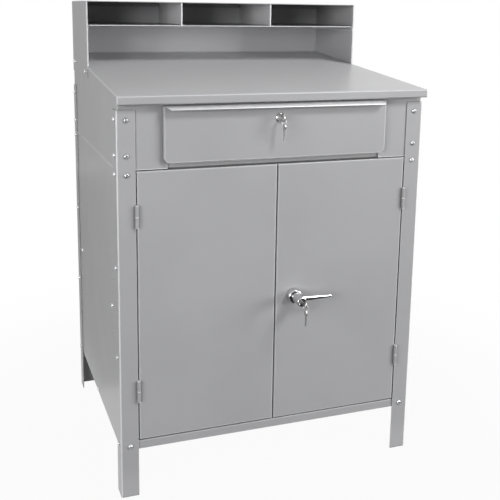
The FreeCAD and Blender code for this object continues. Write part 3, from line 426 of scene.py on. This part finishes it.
@dataclass(frozen=True)
class Enamel:
    """Sprayed and baked enamel on sheet steel, with painted highlights along bends and edges and
    painted shade in seams and corners.
    """

    name: str
    colour: Colour
    # Colour of the painted highlights along edges and along a leg's bend.
    edge_highlight_colour: Colour
    roughness: float = 0.34
    sheen_cells: float = 9.0
    sheen_range: float = 0.02
    specular: float = 0.5
    coat: float = 0.12
    coat_roughness: float = 0.2
    edge_radius: float = 0.0009
    # Painted highlight along bends and edges: its reach, sharpness, share and the heights above
    # which it shows.
    highlight_radius: float = 0.004
    highlight_sharpness: float = 0.12
    highlight_share: float = 0.85
    highlight_above: Optional[Pair] = None
    mottle_cells: float = 3.2
    mottle_detail: float = 4.0
    mottle_stops: Pair = (0.35, 0.65)
    mottle_share: float = 0.03
    peel_cells: float = 420.0
    peel_detail: float = 2.0
    peel_height: float = 0.00004
    peel_strength: float = 0.3
    # Painted highlight along a leg's bend: its line, reach and share.
    heel: Optional[Pair] = None
    heel_reach: float = 0.0042
    heel_highlight_share: float = 0.7
    # Painted shade in seams and corners: its reach, share and colour.
    crevice_reach: float = 0.006
    crevice_shade_share: float = 0.48
    crevice_shade_colour: Colour = (0.05, 0.048, 0.047)
    # Painted light: a lighter colour for faces that look up, or none.
    upward_lit_colour: Optional[Colour] = None

    def tone(self, bench: MaterialBench) -> Node:
        """Colour of the enamel with its mottle, painted shade in seams, painted edge highlights
        and, where set, painted light on faces that look up and a painted highlight along a leg's
        bend.

        Args:
            bench: Bench of the material.

        Returns:
            Node with a Color output.
        """
        tone = bench.ramp(
            bench.noise(self.mottle_cells, self.mottle_detail),
            self.mottle_stops,
            scaled(self.colour, 1.0 - self.mottle_share),
            scaled(self.colour, 1.0 + self.mottle_share),
        )
        # Painted light: faces that look up are made lighter, as if lit from above.
        if self.upward_lit_colour is not None:
            tone = bench.mixed(bench.upward_mask(), tone, self.upward_lit_colour)
        # Painted shade: seams and corners are darkened towards near black.
        painted_crevice_shade = bench.crevice_mask(self.crevice_reach, self.crevice_shade_share)
        tone = bench.mixed(painted_crevice_shade, tone, self.crevice_shade_colour)
        # Painted highlight: bends and rims are lightened as if they caught the lamps.
        edge_highlight = bench.edge_mask(self.highlight_radius, self.highlight_sharpness, self.highlight_share)
        if self.highlight_above is not None:
            limit = bench.height_mask(self.highlight_above, self.highlight_share)
            bench.link(limit, "Result", edge_highlight, "To Max")
        tone = bench.mixed(edge_highlight, tone, self.edge_highlight_colour)
        # Painted highlight along the outside of a leg's bend.
        if self.heel is not None:
            heel_highlight = bench.line_mask(self.heel, self.heel_reach, self.heel_highlight_share)
            tone = bench.mixed(heel_highlight, tone, self.edge_highlight_colour)
        return tone

    def build(self) -> bpy.types.Material:
        """Make the enamel's material.

        Returns:
            The material.
        """
        bench = MaterialBench(self.name)
        bench.link(self.tone(bench), "Color", bench.shader, "Base Color")
        gloss = bench.span(
            bench.noise(self.sheen_cells, 1.0),
            self.roughness - self.sheen_range,
            self.roughness + self.sheen_range,
        )
        bench.link(gloss, "Result", bench.shader, "Roughness")
        peel = bench.noise(self.peel_cells, self.peel_detail)
        bench.rounded_bump(peel, self.peel_strength, self.peel_height, self.edge_radius)
        bench.fill(
            bench.shader,
            Specular_IOR_Level=self.specular,
            Coat_Weight=self.coat,
            Coat_Roughness=self.coat_roughness,
        )
        return bench.material


@dataclass(frozen=True)
class Plate:
    """Bright metal: chrome, zinc, aluminium or bare steel, with its own grain."""

    name: str
    colour: Colour
    roughness: float
    roughness_range: Pair = (0.8, 1.25)
    grain: Triple = (220.0, 220.0, 220.0)
    grain_detail: float = 3.0
    grain_height: float = 0.00002
    grain_strength: float = 0.25
    stain_cells: float = 55.0
    stain_detail: float = 3.0
    stain_stops: Pair = (0.35, 0.65)
    stain_share: float = 0.08
    edge_radius: float = 0.0004

    def build(self) -> bpy.types.Material:
        """Make the metal's material.

        Returns:
            The material.
        """
        bench = MaterialBench(self.name)
        tone = bench.ramp(
            bench.noise(self.stain_cells, self.stain_detail),
            self.stain_stops,
            scaled(self.colour, 1.0 - self.stain_share),
            self.colour,
        )
        bench.link(tone, "Color", bench.shader, "Base Color")
        bench.fill(bench.shader, Metallic=1.0)
        brushing = bench.noise(1.0, self.grain_detail, bench.stretched(self.grain))
        smooth, rough = self.roughness_range
        gloss = bench.span(brushing, self.roughness * smooth, self.roughness * rough)
        bench.link(gloss, "Result", bench.shader, "Roughness")
        bench.rounded_bump(brushing, self.grain_strength, self.grain_height, self.edge_radius)
        return bench.material


Finish = Union[Enamel, Plate]

PAINT_COLOUR: Colour = (0.358, 0.358, 0.366)
# Colour of the painted highlights along bends and edges.
EDGE_HIGHLIGHT_COLOUR: Colour = (0.845, 0.845, 0.855)
# Painted light: a lighter colour for faces that look up.
UPWARD_LIT_COLOUR: Colour = (0.61, 0.61, 0.62)
# Painted light: the riser's inside is lighter than the paint, as if better lit.
RISER_INSIDE_LIT_COLOUR: Colour = (0.53, 0.53, 0.54)

SLOT_FINISHES: Dict[Slot, Finish] = {
    Slot.PAINT: Enamel("grey_enamel", PAINT_COLOUR, EDGE_HIGHLIGHT_COLOUR),
    Slot.CHROME: Plate("plated_bright", (0.74, 0.74, 0.75), 0.10),
    Slot.PULL: Plate("satin_pull", (0.72, 0.72, 0.73), 0.5, grain=(6.0, 900.0, 900.0)),
    Slot.ZINC: Plate("zinc_plated", (0.66, 0.67, 0.68), 0.30, stain_share=0.18),
    Slot.STEEL: Plate("bare_wire", (0.62, 0.62, 0.63), 0.24),
}

KEY_FINISH = Plate("dulled_key", (0.74, 0.73, 0.72), 0.3, stain_share=0.2)
# The worktop carries painted light on its faces that look up.
TOP_FINISH = Enamel(
    "worktop_enamel", PAINT_COLOUR, EDGE_HIGHLIGHT_COLOUR, roughness=0.4, upward_lit_colour=UPWARD_LIT_COLOUR,
)
# The lid and the fronts get weaker painted edge highlights, and the fronts get them over a wider
# reach.
LID_FINISH = Enamel("lid_enamel", PAINT_COLOUR, EDGE_HIGHLIGHT_COLOUR, highlight_share=0.1)
FRONT_FINISH = Enamel(
    "front_enamel", PAINT_COLOUR, EDGE_HIGHLIGHT_COLOUR, highlight_radius=0.0055, highlight_share=0.6,
)
# Painted light: a lighter copy of the paint for the riser's back and dividers.
RISER_INSIDE_LIT_FINISH = Enamel("riser_inside_lit_enamel", RISER_INSIDE_LIT_COLOUR, EDGE_HIGHLIGHT_COLOUR)

NODE_FINISHES: Dict[str, Finish] = {
    "drawer_key": KEY_FINISH,
    "drawer_spare_key": KEY_FINISH,
    "handle_key": KEY_FINISH,
    "handle_spare_key": KEY_FINISH,
    "worktop": TOP_FINISH,
    "riser_top": LID_FINISH,
    "drawer_front": FRONT_FINISH,
    "left_door_panel": FRONT_FINISH,
    "right_door_panel": FRONT_FINISH,
    "riser_back": RISER_INSIDE_LIT_FINISH,
    "riser_divider_left": RISER_INSIDE_LIT_FINISH,
    "riser_divider_right": RISER_INSIDE_LIT_FINISH,
}
RISER_SIDE_NODES = ("riser_side_left", "riser_side_right")
LEG_NODES = ("leg_front_left", "leg_front_right", "leg_rear_left", "leg_rear_right")


class Modeller:
    """Steps of hand modelling that several pieces share."""

    @staticmethod
    def pick_faces(piece: bpy.types.Object, wanted: Callable[[bmesh.types.BMFace], bool]) -> None:
        """Select the faces of a mesh in edit mode that pass a test.

        Args:
            piece: Object in edit mode.
            wanted: Test of one face.
        """
        bpy.ops.mesh.select_mode(type="FACE")
        bpy.ops.mesh.select_all(action="DESELECT")
        mesh = bmesh.from_edit_mesh(piece.data)
        for face in mesh.faces:
            face.select_set(wanted(face))
        bmesh.update_edit_mesh(piece.data)

    @staticmethod
    def pick_corners(piece: bpy.types.Object, wanted: Callable[[bmesh.types.BMVert], bool]) -> None:
        """Select the vertices of a mesh in edit mode that pass a test.

        Args:
            piece: Object in edit mode.
            wanted: Test of one vertex.
        """
        bpy.ops.mesh.select_mode(type="VERT")
        bpy.ops.mesh.select_all(action="DESELECT")
        mesh = bmesh.from_edit_mesh(piece.data)
        for corner in mesh.verts:
            corner.select_set(wanted(corner))
        mesh.select_flush(True)
        bmesh.update_edit_mesh(piece.data)

    @staticmethod
    def face_heights(piece: bpy.types.Object) -> List[float]:
        """Heights of the middles of a mesh's faces.

        Args:
            piece: Object in edit mode.

        Returns:
            One height per face.
        """
        mesh = bmesh.from_edit_mesh(piece.data)
        return [face.calc_center_median().z for face in mesh.faces]

    @staticmethod
    def topmost(piece: bpy.types.Object) -> None:
        """Select the level face that lies highest.

        Args:
            piece: Object in edit mode.
        """
        limit = max(Modeller.face_heights(piece)) - SAME_PLACE
        Modeller.pick_faces(piece, lambda face: face.calc_center_median().z > limit)

    @staticmethod
    def lowest(piece: bpy.types.Object) -> None:
        """Select the level face that lies lowest.

        Args:
            piece: Object in edit mode.
        """
        limit = min(Modeller.face_heights(piece)) + SAME_PLACE
        Modeller.pick_faces(piece, lambda face: face.calc_center_median().z < limit)

    @staticmethod
    def push(step: Triple) -> None:
        """Extrude what is selected.

        Args:
            step: How far along X, Y and Z, in metres.
        """
        bpy.ops.mesh.extrude_region_move(TRANSFORM_OT_translate={"value": step})

    @staticmethod
    def round_edges(
        piece: bpy.types.Object, name: str, width: float, segments: int, angle: float,
    ) -> bpy.types.Modifier:
        """Add a modifier that rounds the edges of a piece.

        Args:
            piece: The piece.
            name: Name of the modifier.
            width: Width of the rounding in metres.
            segments: Steps across it.
            angle: Least turn at an edge that is rounded, in degrees.

        Returns:
            The modifier, not yet applied.
        """
        bevel = piece.modifiers.new(name, "BEVEL")
        bevel.width = width
        bevel.segments = segments
        bevel.limit_method = "ANGLE"
        bevel.angle_limit = math.radians(angle)
        return bevel

    @staticmethod
    def finish_mesh(*modifiers: bpy.types.Modifier) -> None:
        """Apply modifiers of the active object in order and shade it smooth.

        Args:
            modifiers: The modifiers.
        """
        for modifier in modifiers:
            bpy.ops.object.modifier_apply(modifier=modifier.name)
        bpy.ops.object.shade_smooth_by_angle(angle=math.radians(SMOOTH_ANGLE))

    @staticmethod
    def clear_selection() -> None:
        """Deselect every object."""
        for item in bpy.context.selected_objects:
            item.select_set(False)

    @staticmethod
    def plane(name: str) -> bpy.types.Object:
        """Add a level plane of half-width 1 at the origin.

        Args:
            name: Name of the object.

        Returns:
            The plane, active and selected alone.
        """
        Modeller.clear_selection()
        bpy.ops.mesh.primitive_plane_add(size=2.0)
        piece = bpy.context.active_object
        piece.name = name
        return piece

    @staticmethod
    def islands(node: str) -> List[Tuple[Vector, Vector]]:
        """Boxes of the separate solids of a CAD node.

        Args:
            node: Name of the node.

        Returns:
            Lowest and highest corner of each solid.
        """
        mesh = bmesh.new()
        mesh.from_mesh(frame["nodes"][node].data)
        bmesh.ops.remove_doubles(mesh, verts=mesh.verts, dist=SAME_CORNER)
        waiting = set(mesh.verts)
        boxes: List[Tuple[Vector, Vector]] = []
        while waiting:
            front = [waiting.pop()]
            found = list(front)
            while front:
                for edge in front.pop().link_edges:
                    for corner in edge.verts:
                        if corner in waiting:
                            waiting.discard(corner)
                            front.append(corner)
                            found.append(corner)
            low = Vector(min(corner.co[axis] for corner in found) for axis in range(3))
            high = Vector(max(corner.co[axis] for corner in found) for axis in range(3))
            boxes.append((low, high))
        mesh.free()
        boxes.sort(key=lambda pair: tuple(round(value, 4) for value in pair[0]))
        return boxes


class Wardrobe:
    """Builds each finish once and hands it to nodes and pieces."""

    # Share of the painted edge highlight on the legs, and the heights at which it starts on the
    # riser sides.
    LEG_HIGHLIGHT_SHARE = 0.2
    RISER_HIGHLIGHT_START = 0.022
    RISER_HIGHLIGHT_FULL = 0.03

    def __init__(self) -> None:
        """Make every finish's material."""
        self.materials = {slot: finish.build() for slot, finish in SLOT_FINISHES.items()}
        self.own_finishes = dict(NODE_FINISHES)
        self.own_finishes.update({node: self.leg_finish(node) for node in LEG_NODES})
        self.own_finishes.update({node: self.riser_side_finish(node) for node in RISER_SIDE_NODES})
        by_name = {finish.name: finish for finish in self.own_finishes.values()}
        self.own_materials = {name: finish.build() for name, finish in by_name.items()}

    @classmethod
    def riser_side_finish(cls, node: str) -> Enamel:
        """Enamel of a riser side, with painted highlights along its edges above the worktop only.

        Args:
            node: Name of the side.

        Returns:
            The finish.
        """
        low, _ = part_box(node)
        heights = (low.z + cls.RISER_HIGHLIGHT_START, low.z + cls.RISER_HIGHLIGHT_FULL)
        return Enamel(node + "_enamel", PAINT_COLOUR, EDGE_HIGHLIGHT_COLOUR, highlight_above=heights)

    @classmethod
    def leg_finish(cls, node: str) -> Enamel:
        """Enamel of a leg, with a painted highlight along the outside of its bend.

        Args:
            node: Name of the leg.

        Returns:
            The finish.
        """
        low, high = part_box(node)
        heel_x = low.x if abs(low.x) > abs(high.x) else high.x
        heel_y = low.y if "front" in node else high.y
        return Enamel(
            node + "_enamel", PAINT_COLOUR, EDGE_HIGHLIGHT_COLOUR,
            highlight_share=cls.LEG_HIGHLIGHT_SHARE, heel=(heel_x, heel_y),
        )

    def dress_nodes(self) -> None:
        """Give every CAD node its own finish, or else that of its slot in the record."""
        for entry in frame["record"]["subparts"]:
            node = frame["nodes"][entry["node"]]
            own = self.own_finishes.get(entry["node"])
            if own is not None:
                material = self.own_materials[own.name]
            else:
                material = self.materials[Slot(entry["material_slot"])]
            node.data.materials.clear()
            node.data.materials.append(material)
            LOG.info("dressed %s in %s", entry["node"], material.name)

    def dress(self, piece: bpy.types.Object, slot: Slot) -> None:
        """Give a new piece the finish of a slot of the record.

        Args:
            piece: The new piece.
            slot: Slot of the record.
        """
        piece.data.materials.clear()
        piece.data.materials.append(self.materials[slot])


@dataclass
class BoltSet:
    """Dome-headed bolts with a hexagon socket, one in the place of each CAD bolt."""

    head_radius: float = 0.0066
    head_height: float = 0.0042
    brim_height: float = 0.0010
    dome: Tuple[Pair, ...] = ((0.0006, 0.0009), (0.0012, 0.0013), (0.0013, 0.0010))
    socket_rim: float = 0.0004
    socket_radius: float = 0.0027
    socket_depth: float = 0.0026
    shank_radius: float = 0.0032
    shank_length: float = 0.010
    edge_width: float = 0.0003
    edge_segments: int = 2
    segments: int = 24

    def model(self) -> bpy.types.Object:
        """Model one bolt along +Z with the seat of its head at the origin.

        Returns:
            The bolt, to be copied.
        """
        Modeller.clear_selection()
        bpy.ops.mesh.primitive_cylinder_add(
            vertices=self.segments, radius=self.head_radius, depth=self.brim_height,
        )
        pattern = bpy.context.active_object
        pattern.data.transform(Matrix.Translation((0.0, 0.0, self.brim_height / 2.0)))
        bpy.ops.object.mode_set(mode="EDIT")
        for step, rise in self.dome:
            Modeller.topmost(pattern)
            bpy.ops.mesh.inset(thickness=step, depth=rise)
        Modeller.topmost(pattern)
        bpy.ops.mesh.inset(thickness=self.socket_rim, depth=0.0)
        self.shape_socket(pattern)
        Modeller.push((0.0, 0.0, -self.socket_depth))
        Modeller.lowest(pattern)
        bpy.ops.mesh.inset(thickness=self.head_radius - self.shank_radius, depth=0.0)
        Modeller.push((0.0, 0.0, -self.shank_length))
        bpy.ops.object.mode_set(mode="OBJECT")
        Modeller.finish_mesh(
            Modeller.round_edges(
                pattern, "soft_edges", self.edge_width, self.edge_segments, SMOOTH_ANGLE,
            ),
        )
        return pattern

    def shape_socket(self, pattern: bpy.types.Object) -> None:
        """Move the rim of the innermost top face onto a hexagon and leave that face selected.

        Args:
            pattern: The bolt in edit mode.
        """
        half_side = math.pi / 6.0
        mesh = bmesh.from_edit_mesh(pattern.data)
        inner = [face for face in mesh.faces if face.select][0]
        for corner in inner.verts:
            turn = math.atan2(corner.co.y, corner.co.x)
            off = (turn + half_side) % (2.0 * half_side) - half_side
            reach = self.socket_radius * math.cos(half_side) / math.cos(off)
            corner.co.x = reach * math.cos(turn)
            corner.co.y = reach * math.sin(turn)
        bmesh.update_edit_mesh(pattern.data)

    def seat(self, low: Vector, high: Vector, middle: Vector) -> Tuple[Vector, Vector, float]:
        """Work out a bolt's seat from the box of its CAD solid.

        Args:
            low: Lowest corner of the box.
            high: Highest corner of the box.
            middle: Middle of the desk, which bolts point away from.

        Returns:
            Seat of the head, outward direction and length of the shank.
        """
        size = high - low
        axis = max(range(2), key=lambda index: abs(size[index] - 2.0 * self.head_radius))
        centre = (low + high) / 2.0
        outward = Vector((0.0, 0.0, 0.0))
        outward[axis] = 1.0 if centre[axis] > middle[axis] else -1.0
        point = centre + outward * (size[axis] / 2.0 - self.head_height)
        return point, outward, size[axis] - self.head_height

    def build(self, wardrobe: Wardrobe) -> None:
        """Copy the bolt to every place and dress it.

        Args:
            wardrobe: Finishes to dress the bolts in.
        """
        pattern = self.model()
        middle = (CAD_BOX[0] + CAD_BOX[1]) / 2.0
        for index, (low, high) in enumerate(Modeller.islands("bolts")):
            point, outward, length = self.seat(low, high, middle)
            mesh = pattern.data.copy()
            for corner in mesh.vertices:
                if corner.co.z < -self.shank_length / 2.0:
                    corner.co.z += self.shank_length - length
            turn = Vector((0.0, 0.0, 1.0)).rotation_difference(outward)
            mesh.transform(Matrix.Translation(point) @ turn.to_matrix().to_4x4())
            bolt = bpy.data.objects.new(f"bolt_{index + 1:02d}", mesh)
            bpy.context.scene.collection.objects.link(bolt)
            wardrobe.dress(bolt, Slot.ZINC)
            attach(bolt, Body.CARCASS.value)
            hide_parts("bolts")
            LOG.info("built %s", bolt.name)
        bpy.data.objects.remove(pattern)


@dataclass
class DrawerPull:
    """Satin pull on the drawer's top edge: a land, a sloping face with slanted ends, a hook."""

    land: float = 0.0125
    face_drop: float = 0.0085
    face_inset: float = 0.0015
    hook: Pair = (0.0022, -0.0028)
    slant: float = 0.013
    sheet: float = 0.0018
    bend_width: float = 0.0022
    bend_segments: int = 4
    bend_angle: float = 12.0
    edge_width: float = 0.0004
    edge_segments: int = 2
    edge_angle: float = 60.0

    @staticmethod
    def pick_front(strip: bpy.types.Object) -> None:
        """Select the strip's foremost edge.

        Args:
            strip: The strip in edit mode.
        """
        mesh = bmesh.from_edit_mesh(strip.data)
        limit = min(corner.co.y for corner in mesh.verts) + SAME_PLACE
        Modeller.pick_corners(strip, lambda corner: corner.co.y < limit)

    @staticmethod
    def extend(strip: bpy.types.Object, step: Pair, narrow: float) -> None:
        """Fold the strip on from the edge that is selected, and leave the new edge selected.

        Args:
            strip: The strip in edit mode.
            step: Way along Y and Z.
            narrow: How much each end draws in.
        """
        Modeller.push((0.0, *step))
        mesh = bmesh.from_edit_mesh(strip.data)
        for corner in mesh.verts:
            if corner.select:
                corner.co.x -= math.copysign(narrow, corner.co.x)
        bmesh.update_edit_mesh(strip.data)

    def thicken(self, strip: bpy.types.Object) -> None:
        """Round the folds, give the sheet its thickness and soften its edges.

        Args:
            strip: The folded strip.
        """
        folds = Modeller.round_edges(
            strip, "folds", self.bend_width, self.bend_segments, self.bend_angle,
        )
        skin = strip.modifiers.new("skin", "SOLIDIFY")
        skin.thickness = self.sheet
        skin.offset = -1.0
        edges = Modeller.round_edges(
            strip, "edges", self.edge_width, self.edge_segments, self.edge_angle,
        )
        Modeller.finish_mesh(folds, skin, edges)

    def build(self, wardrobe: Wardrobe) -> None:
        """Model the pull in the place of its CAD node.

        Args:
            wardrobe: Finishes to dress it in.
        """
        low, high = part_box("drawer_pull")
        face = high.y - self.land
        strip = Modeller.plane("drawer_pull_strip")
        middle = Vector((0.0, (high.y + face) / 2.0, high.z))
        half_sizes = ((high.x - low.x) / 2.0, self.land / 2.0, 1.0, 1.0)
        strip.data.transform(Matrix.Translation(middle) @ Matrix.Diagonal(half_sizes))
        bpy.ops.object.mode_set(mode="EDIT")
        self.pick_front(strip)
        self.extend(strip, (low.y + self.face_inset - face, -self.face_drop), self.slant)
        self.extend(strip, self.hook, 0.0)
        bpy.ops.object.mode_set(mode="OBJECT")
        self.thicken(strip)
        wardrobe.dress(strip, Slot.PULL)
        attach(strip, Body.DRAWER.value)
        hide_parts("drawer_pull")
        LOG.info("built %s", strip.name)


@dataclass(frozen=True)
class Lamp:
    """Square soft lamp that points at the desk."""

    name: str
    place: Triple
    size: float
    power: float
    aim: Triple = (0.0, 0.0, 0.9)

    def build(self) -> None:
        """Hang the lamp."""
        data = bpy.data.lights.new(self.name, "AREA")
        data.shape = "SQUARE"
        data.size = self.size
        data.energy = self.power
        lamp = bpy.data.objects.new(self.name, data)
        bpy.context.scene.collection.objects.link(lamp)
        lamp.location = self.place
        way = Vector(self.aim) - Vector(self.place)
        lamp.rotation_euler = way.to_track_quat("-Z", "Y").to_euler()


@dataclass(frozen=True)
class Flag:
    """Studio card that shiny surfaces mirror and nothing else sees."""

    name: str
    place: Triple
    aim: Triple
    half_size: Pair
    tone: float
    weave_cells: float = 40.0
    weave_detail: float = 2.0
    weave_stops: Pair = (0.3, 0.7)
    weave_share: float = 0.9

    def build(self) -> None:
        """Set up the card."""
        card = Modeller.plane(self.name)
        way = Vector(self.aim) - Vector(self.place)
        turn = way.to_track_quat("Z", "Y").to_matrix().to_4x4()
        size = Matrix.Diagonal((*self.half_size, 1.0, 1.0))
        card.data.transform(Matrix.Translation(self.place) @ turn @ size)
        bench = MaterialBench(self.name + "_cloth")
        light = (self.tone, self.tone, self.tone)
        weave = bench.noise(self.weave_cells, self.weave_detail)
        cloth = bench.ramp(weave, self.weave_stops, scaled(light, self.weave_share), light)
        bench.link(cloth, "Color", bench.shader, "Emission Color")
        bench.fill(bench.shader, Emission_Strength=1.0, Base_Color=BLACK, Specular_IOR_Level=0.0)
        card.data.materials.append(bench.material)
        card.visible_camera = False
        card.visible_diffuse = False
        card.visible_shadow = False


# A key in front on the right, low lamps on both sides, and one behind for the back.
LAMPS = (
    Lamp("key_lamp", (2.3, -3.4, 4.2), 1.3, 154.0),
    Lamp("left_fill_lamp", (-2.9, -3.7, 1.6), 0.9, 34.0),
    Lamp("right_fill_lamp", (3.7, -2.5, 1.4), 1.4, 104.0),
    Lamp("left_lamp", (-3.7, -2.5, 1.4), 1.6, 92.0),
    Lamp("rear_lamp", (0.6, 4.6, 1.6), 2.2, 90.0),
)

# Cards on the floor in front, behind on the left and far in front, for contrast in the metal.
FLAGS = (
    Flag("low_flag", (0.0, -2.4, 0.02), (0.0, -2.4, 1.0), (2.6, 2.0), 0.04),
    Flag("left_flag", (-1.9, 4.2, 1.0), (0.0, 0.0, 1.0), (1.8, 1.0), 0.6),
    Flag("left_floor_flag", (-1.6, 2.2, 0.02), (-1.6, 2.2, 1.0), (1.1, 1.9), 0.5),
    Flag("rear_flag", (0.0, -6.5, 2.2), (0.0, 0.0, 2.2), (6.0, 2.2), 0.12),
)


@dataclass
class Studio:
    """Pale floor, soft lamps, world and camera."""

    floor_half: float = 14.0
    floor_colour: Colour = (0.11, 0.11, 0.11)
    floor_roughness: float = 0.9
    floor_specular: float = 0.1
    cloud_cells: float = 0.7
    cloud_detail: float = 2.0
    cloud_stops: Pair = (0.3, 0.7)
    cloud_share: float = 0.985
    shade_share: float = 0.045
    shade_reach: Pair = (0.5, 1.7)
    world_strength: float = 0.16
    lens_pixels: float = 812.681
    frame_pixels: float = 500.0
    sensor_mm: float = 36.0
    centre_pixels: Pair = (243.86, 165.0)
    heading: float = 0.3427
    tilt: float = 0.1902
    roll: float = 0.0136
    eye_from_legs: Triple = (-0.80942, -2.36454, 1.31528)

    def build_world(self) -> None:
        """World that lights softly and shows white to the camera and in reflections."""
        world = bpy.data.worlds.new("studio_world")
        bpy.context.scene.world = world
        world.use_nodes = True
        bench = NodeBench(world.node_tree)
        out = bench.add("ShaderNodeOutputWorld")
        soft = bench.add("ShaderNodeBackground", Color=WHITE, Strength=self.world_strength)
        white = bench.add("ShaderNodeBackground", Color=WHITE, Strength=1.0)
        blend = bench.blended(bench.seen(), (soft, "Background"), (white, "Background"))
        bench.link(blend, "Shader", out, "Surface")

    def build_floor(self) -> None:
        """Pale floor that shows white, with the desk's shadow kept close round it."""
        floor = Modeller.plane("studio_floor")
        floor.data.transform(Matrix.Diagonal((self.floor_half, self.floor_half, 1.0, 1.0)))
        bench = MaterialBench("studio_floor_paint")
        cloud = bench.noise(self.cloud_cells, self.cloud_detail)
        dark = scaled(self.floor_colour, self.cloud_share)
        tone = bench.ramp(cloud, self.cloud_stops, dark, self.floor_colour)
        bench.link(tone, "Color", bench.shader, "Base Color")
        bench.fill(
            bench.shader, Roughness=self.floor_roughness, Specular_IOR_Level=self.floor_specular,
        )
        distance = bench.operate("ShaderNodeVectorMath", "LENGTH", (bench.place, "Object"))
        whites = (1.0 - self.shade_share, 1.0)
        whiteness = bench.mapped(distance, "Value", self.shade_reach, whites)
        whiteness.interpolation_type = "SMOOTHSTEP"
        share = bench.operate(
            "ShaderNodeMath", "MULTIPLY", (bench.seen(), "Value"), (whiteness, "Result"),
        )
        glow = bench.add("ShaderNodeEmission", Color=WHITE, Strength=1.0)
        blend = bench.blended(share, (bench.shader, "BSDF"), (glow, "Emission"))
        bench.link(blend, "Shader", bench.output, "Surface")
        floor.data.materials.append(bench.material)

    def camera_turn(self) -> Matrix:
        """Turn of the camera from its heading, tilt and roll.

        Returns:
            The turn as a 4 by 4 matrix.
        """
        ahead = Vector((
            math.sin(self.heading) * math.cos(self.tilt),
            math.cos(self.heading) * math.cos(self.tilt),
            -math.sin(self.tilt),
        ))
        level = Vector((math.cos(self.heading), -math.sin(self.heading), 0.0))
        above = level.cross(ahead)
        right = level * math.cos(self.roll) + above * math.sin(self.roll)
        up = above * math.cos(self.roll) - level * math.sin(self.roll)
        return Matrix((right, up, -ahead)).transposed().to_4x4()

    def build_camera(self) -> None:
        """Camera at the photograph's place, with its framing in the shift."""
        data = bpy.data.cameras.new("photo_camera")
        data.sensor_width = self.sensor_mm
        data.lens = self.lens_pixels * self.sensor_mm / self.frame_pixels
        data.shift_x = 0.5 - self.centre_pixels[0] / self.frame_pixels
        data.shift_y = self.centre_pixels[1] / self.frame_pixels - 0.5
        front_low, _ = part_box("leg_front_left")
        _, rear_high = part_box("leg_rear_left")
        legs_middle = Vector((0.0, (front_low.y + rear_high.y) / 2.0, 0.0))
        eye = legs_middle + Vector(self.eye_from_legs)
        camera = bpy.data.objects.new("photo_camera", data)
        bpy.context.scene.collection.objects.link(camera)
        camera.matrix_world = Matrix.Translation(eye) @ self.camera_turn()
        bpy.context.scene.camera = camera

    def build(self) -> None:
        """Set up the whole studio."""
        self.build_world()
        self.build_floor()
        for item in (*LAMPS, *FLAGS):
            item.build()
        self.build_camera()
        bpy.context.scene.view_settings.view_transform = "Standard"
        LOG.info("studio ready")


def main() -> None:
    """Dress the desk, model its fine pieces and set up the studio."""
    logging.basicConfig(level=logging.INFO)
    wardrobe = Wardrobe()
    wardrobe.dress_nodes()
    BoltSet().build(wardrobe)
    DrawerPull().build(wardrobe)
    Studio().build()


if __name__ == "__main__":
    main()
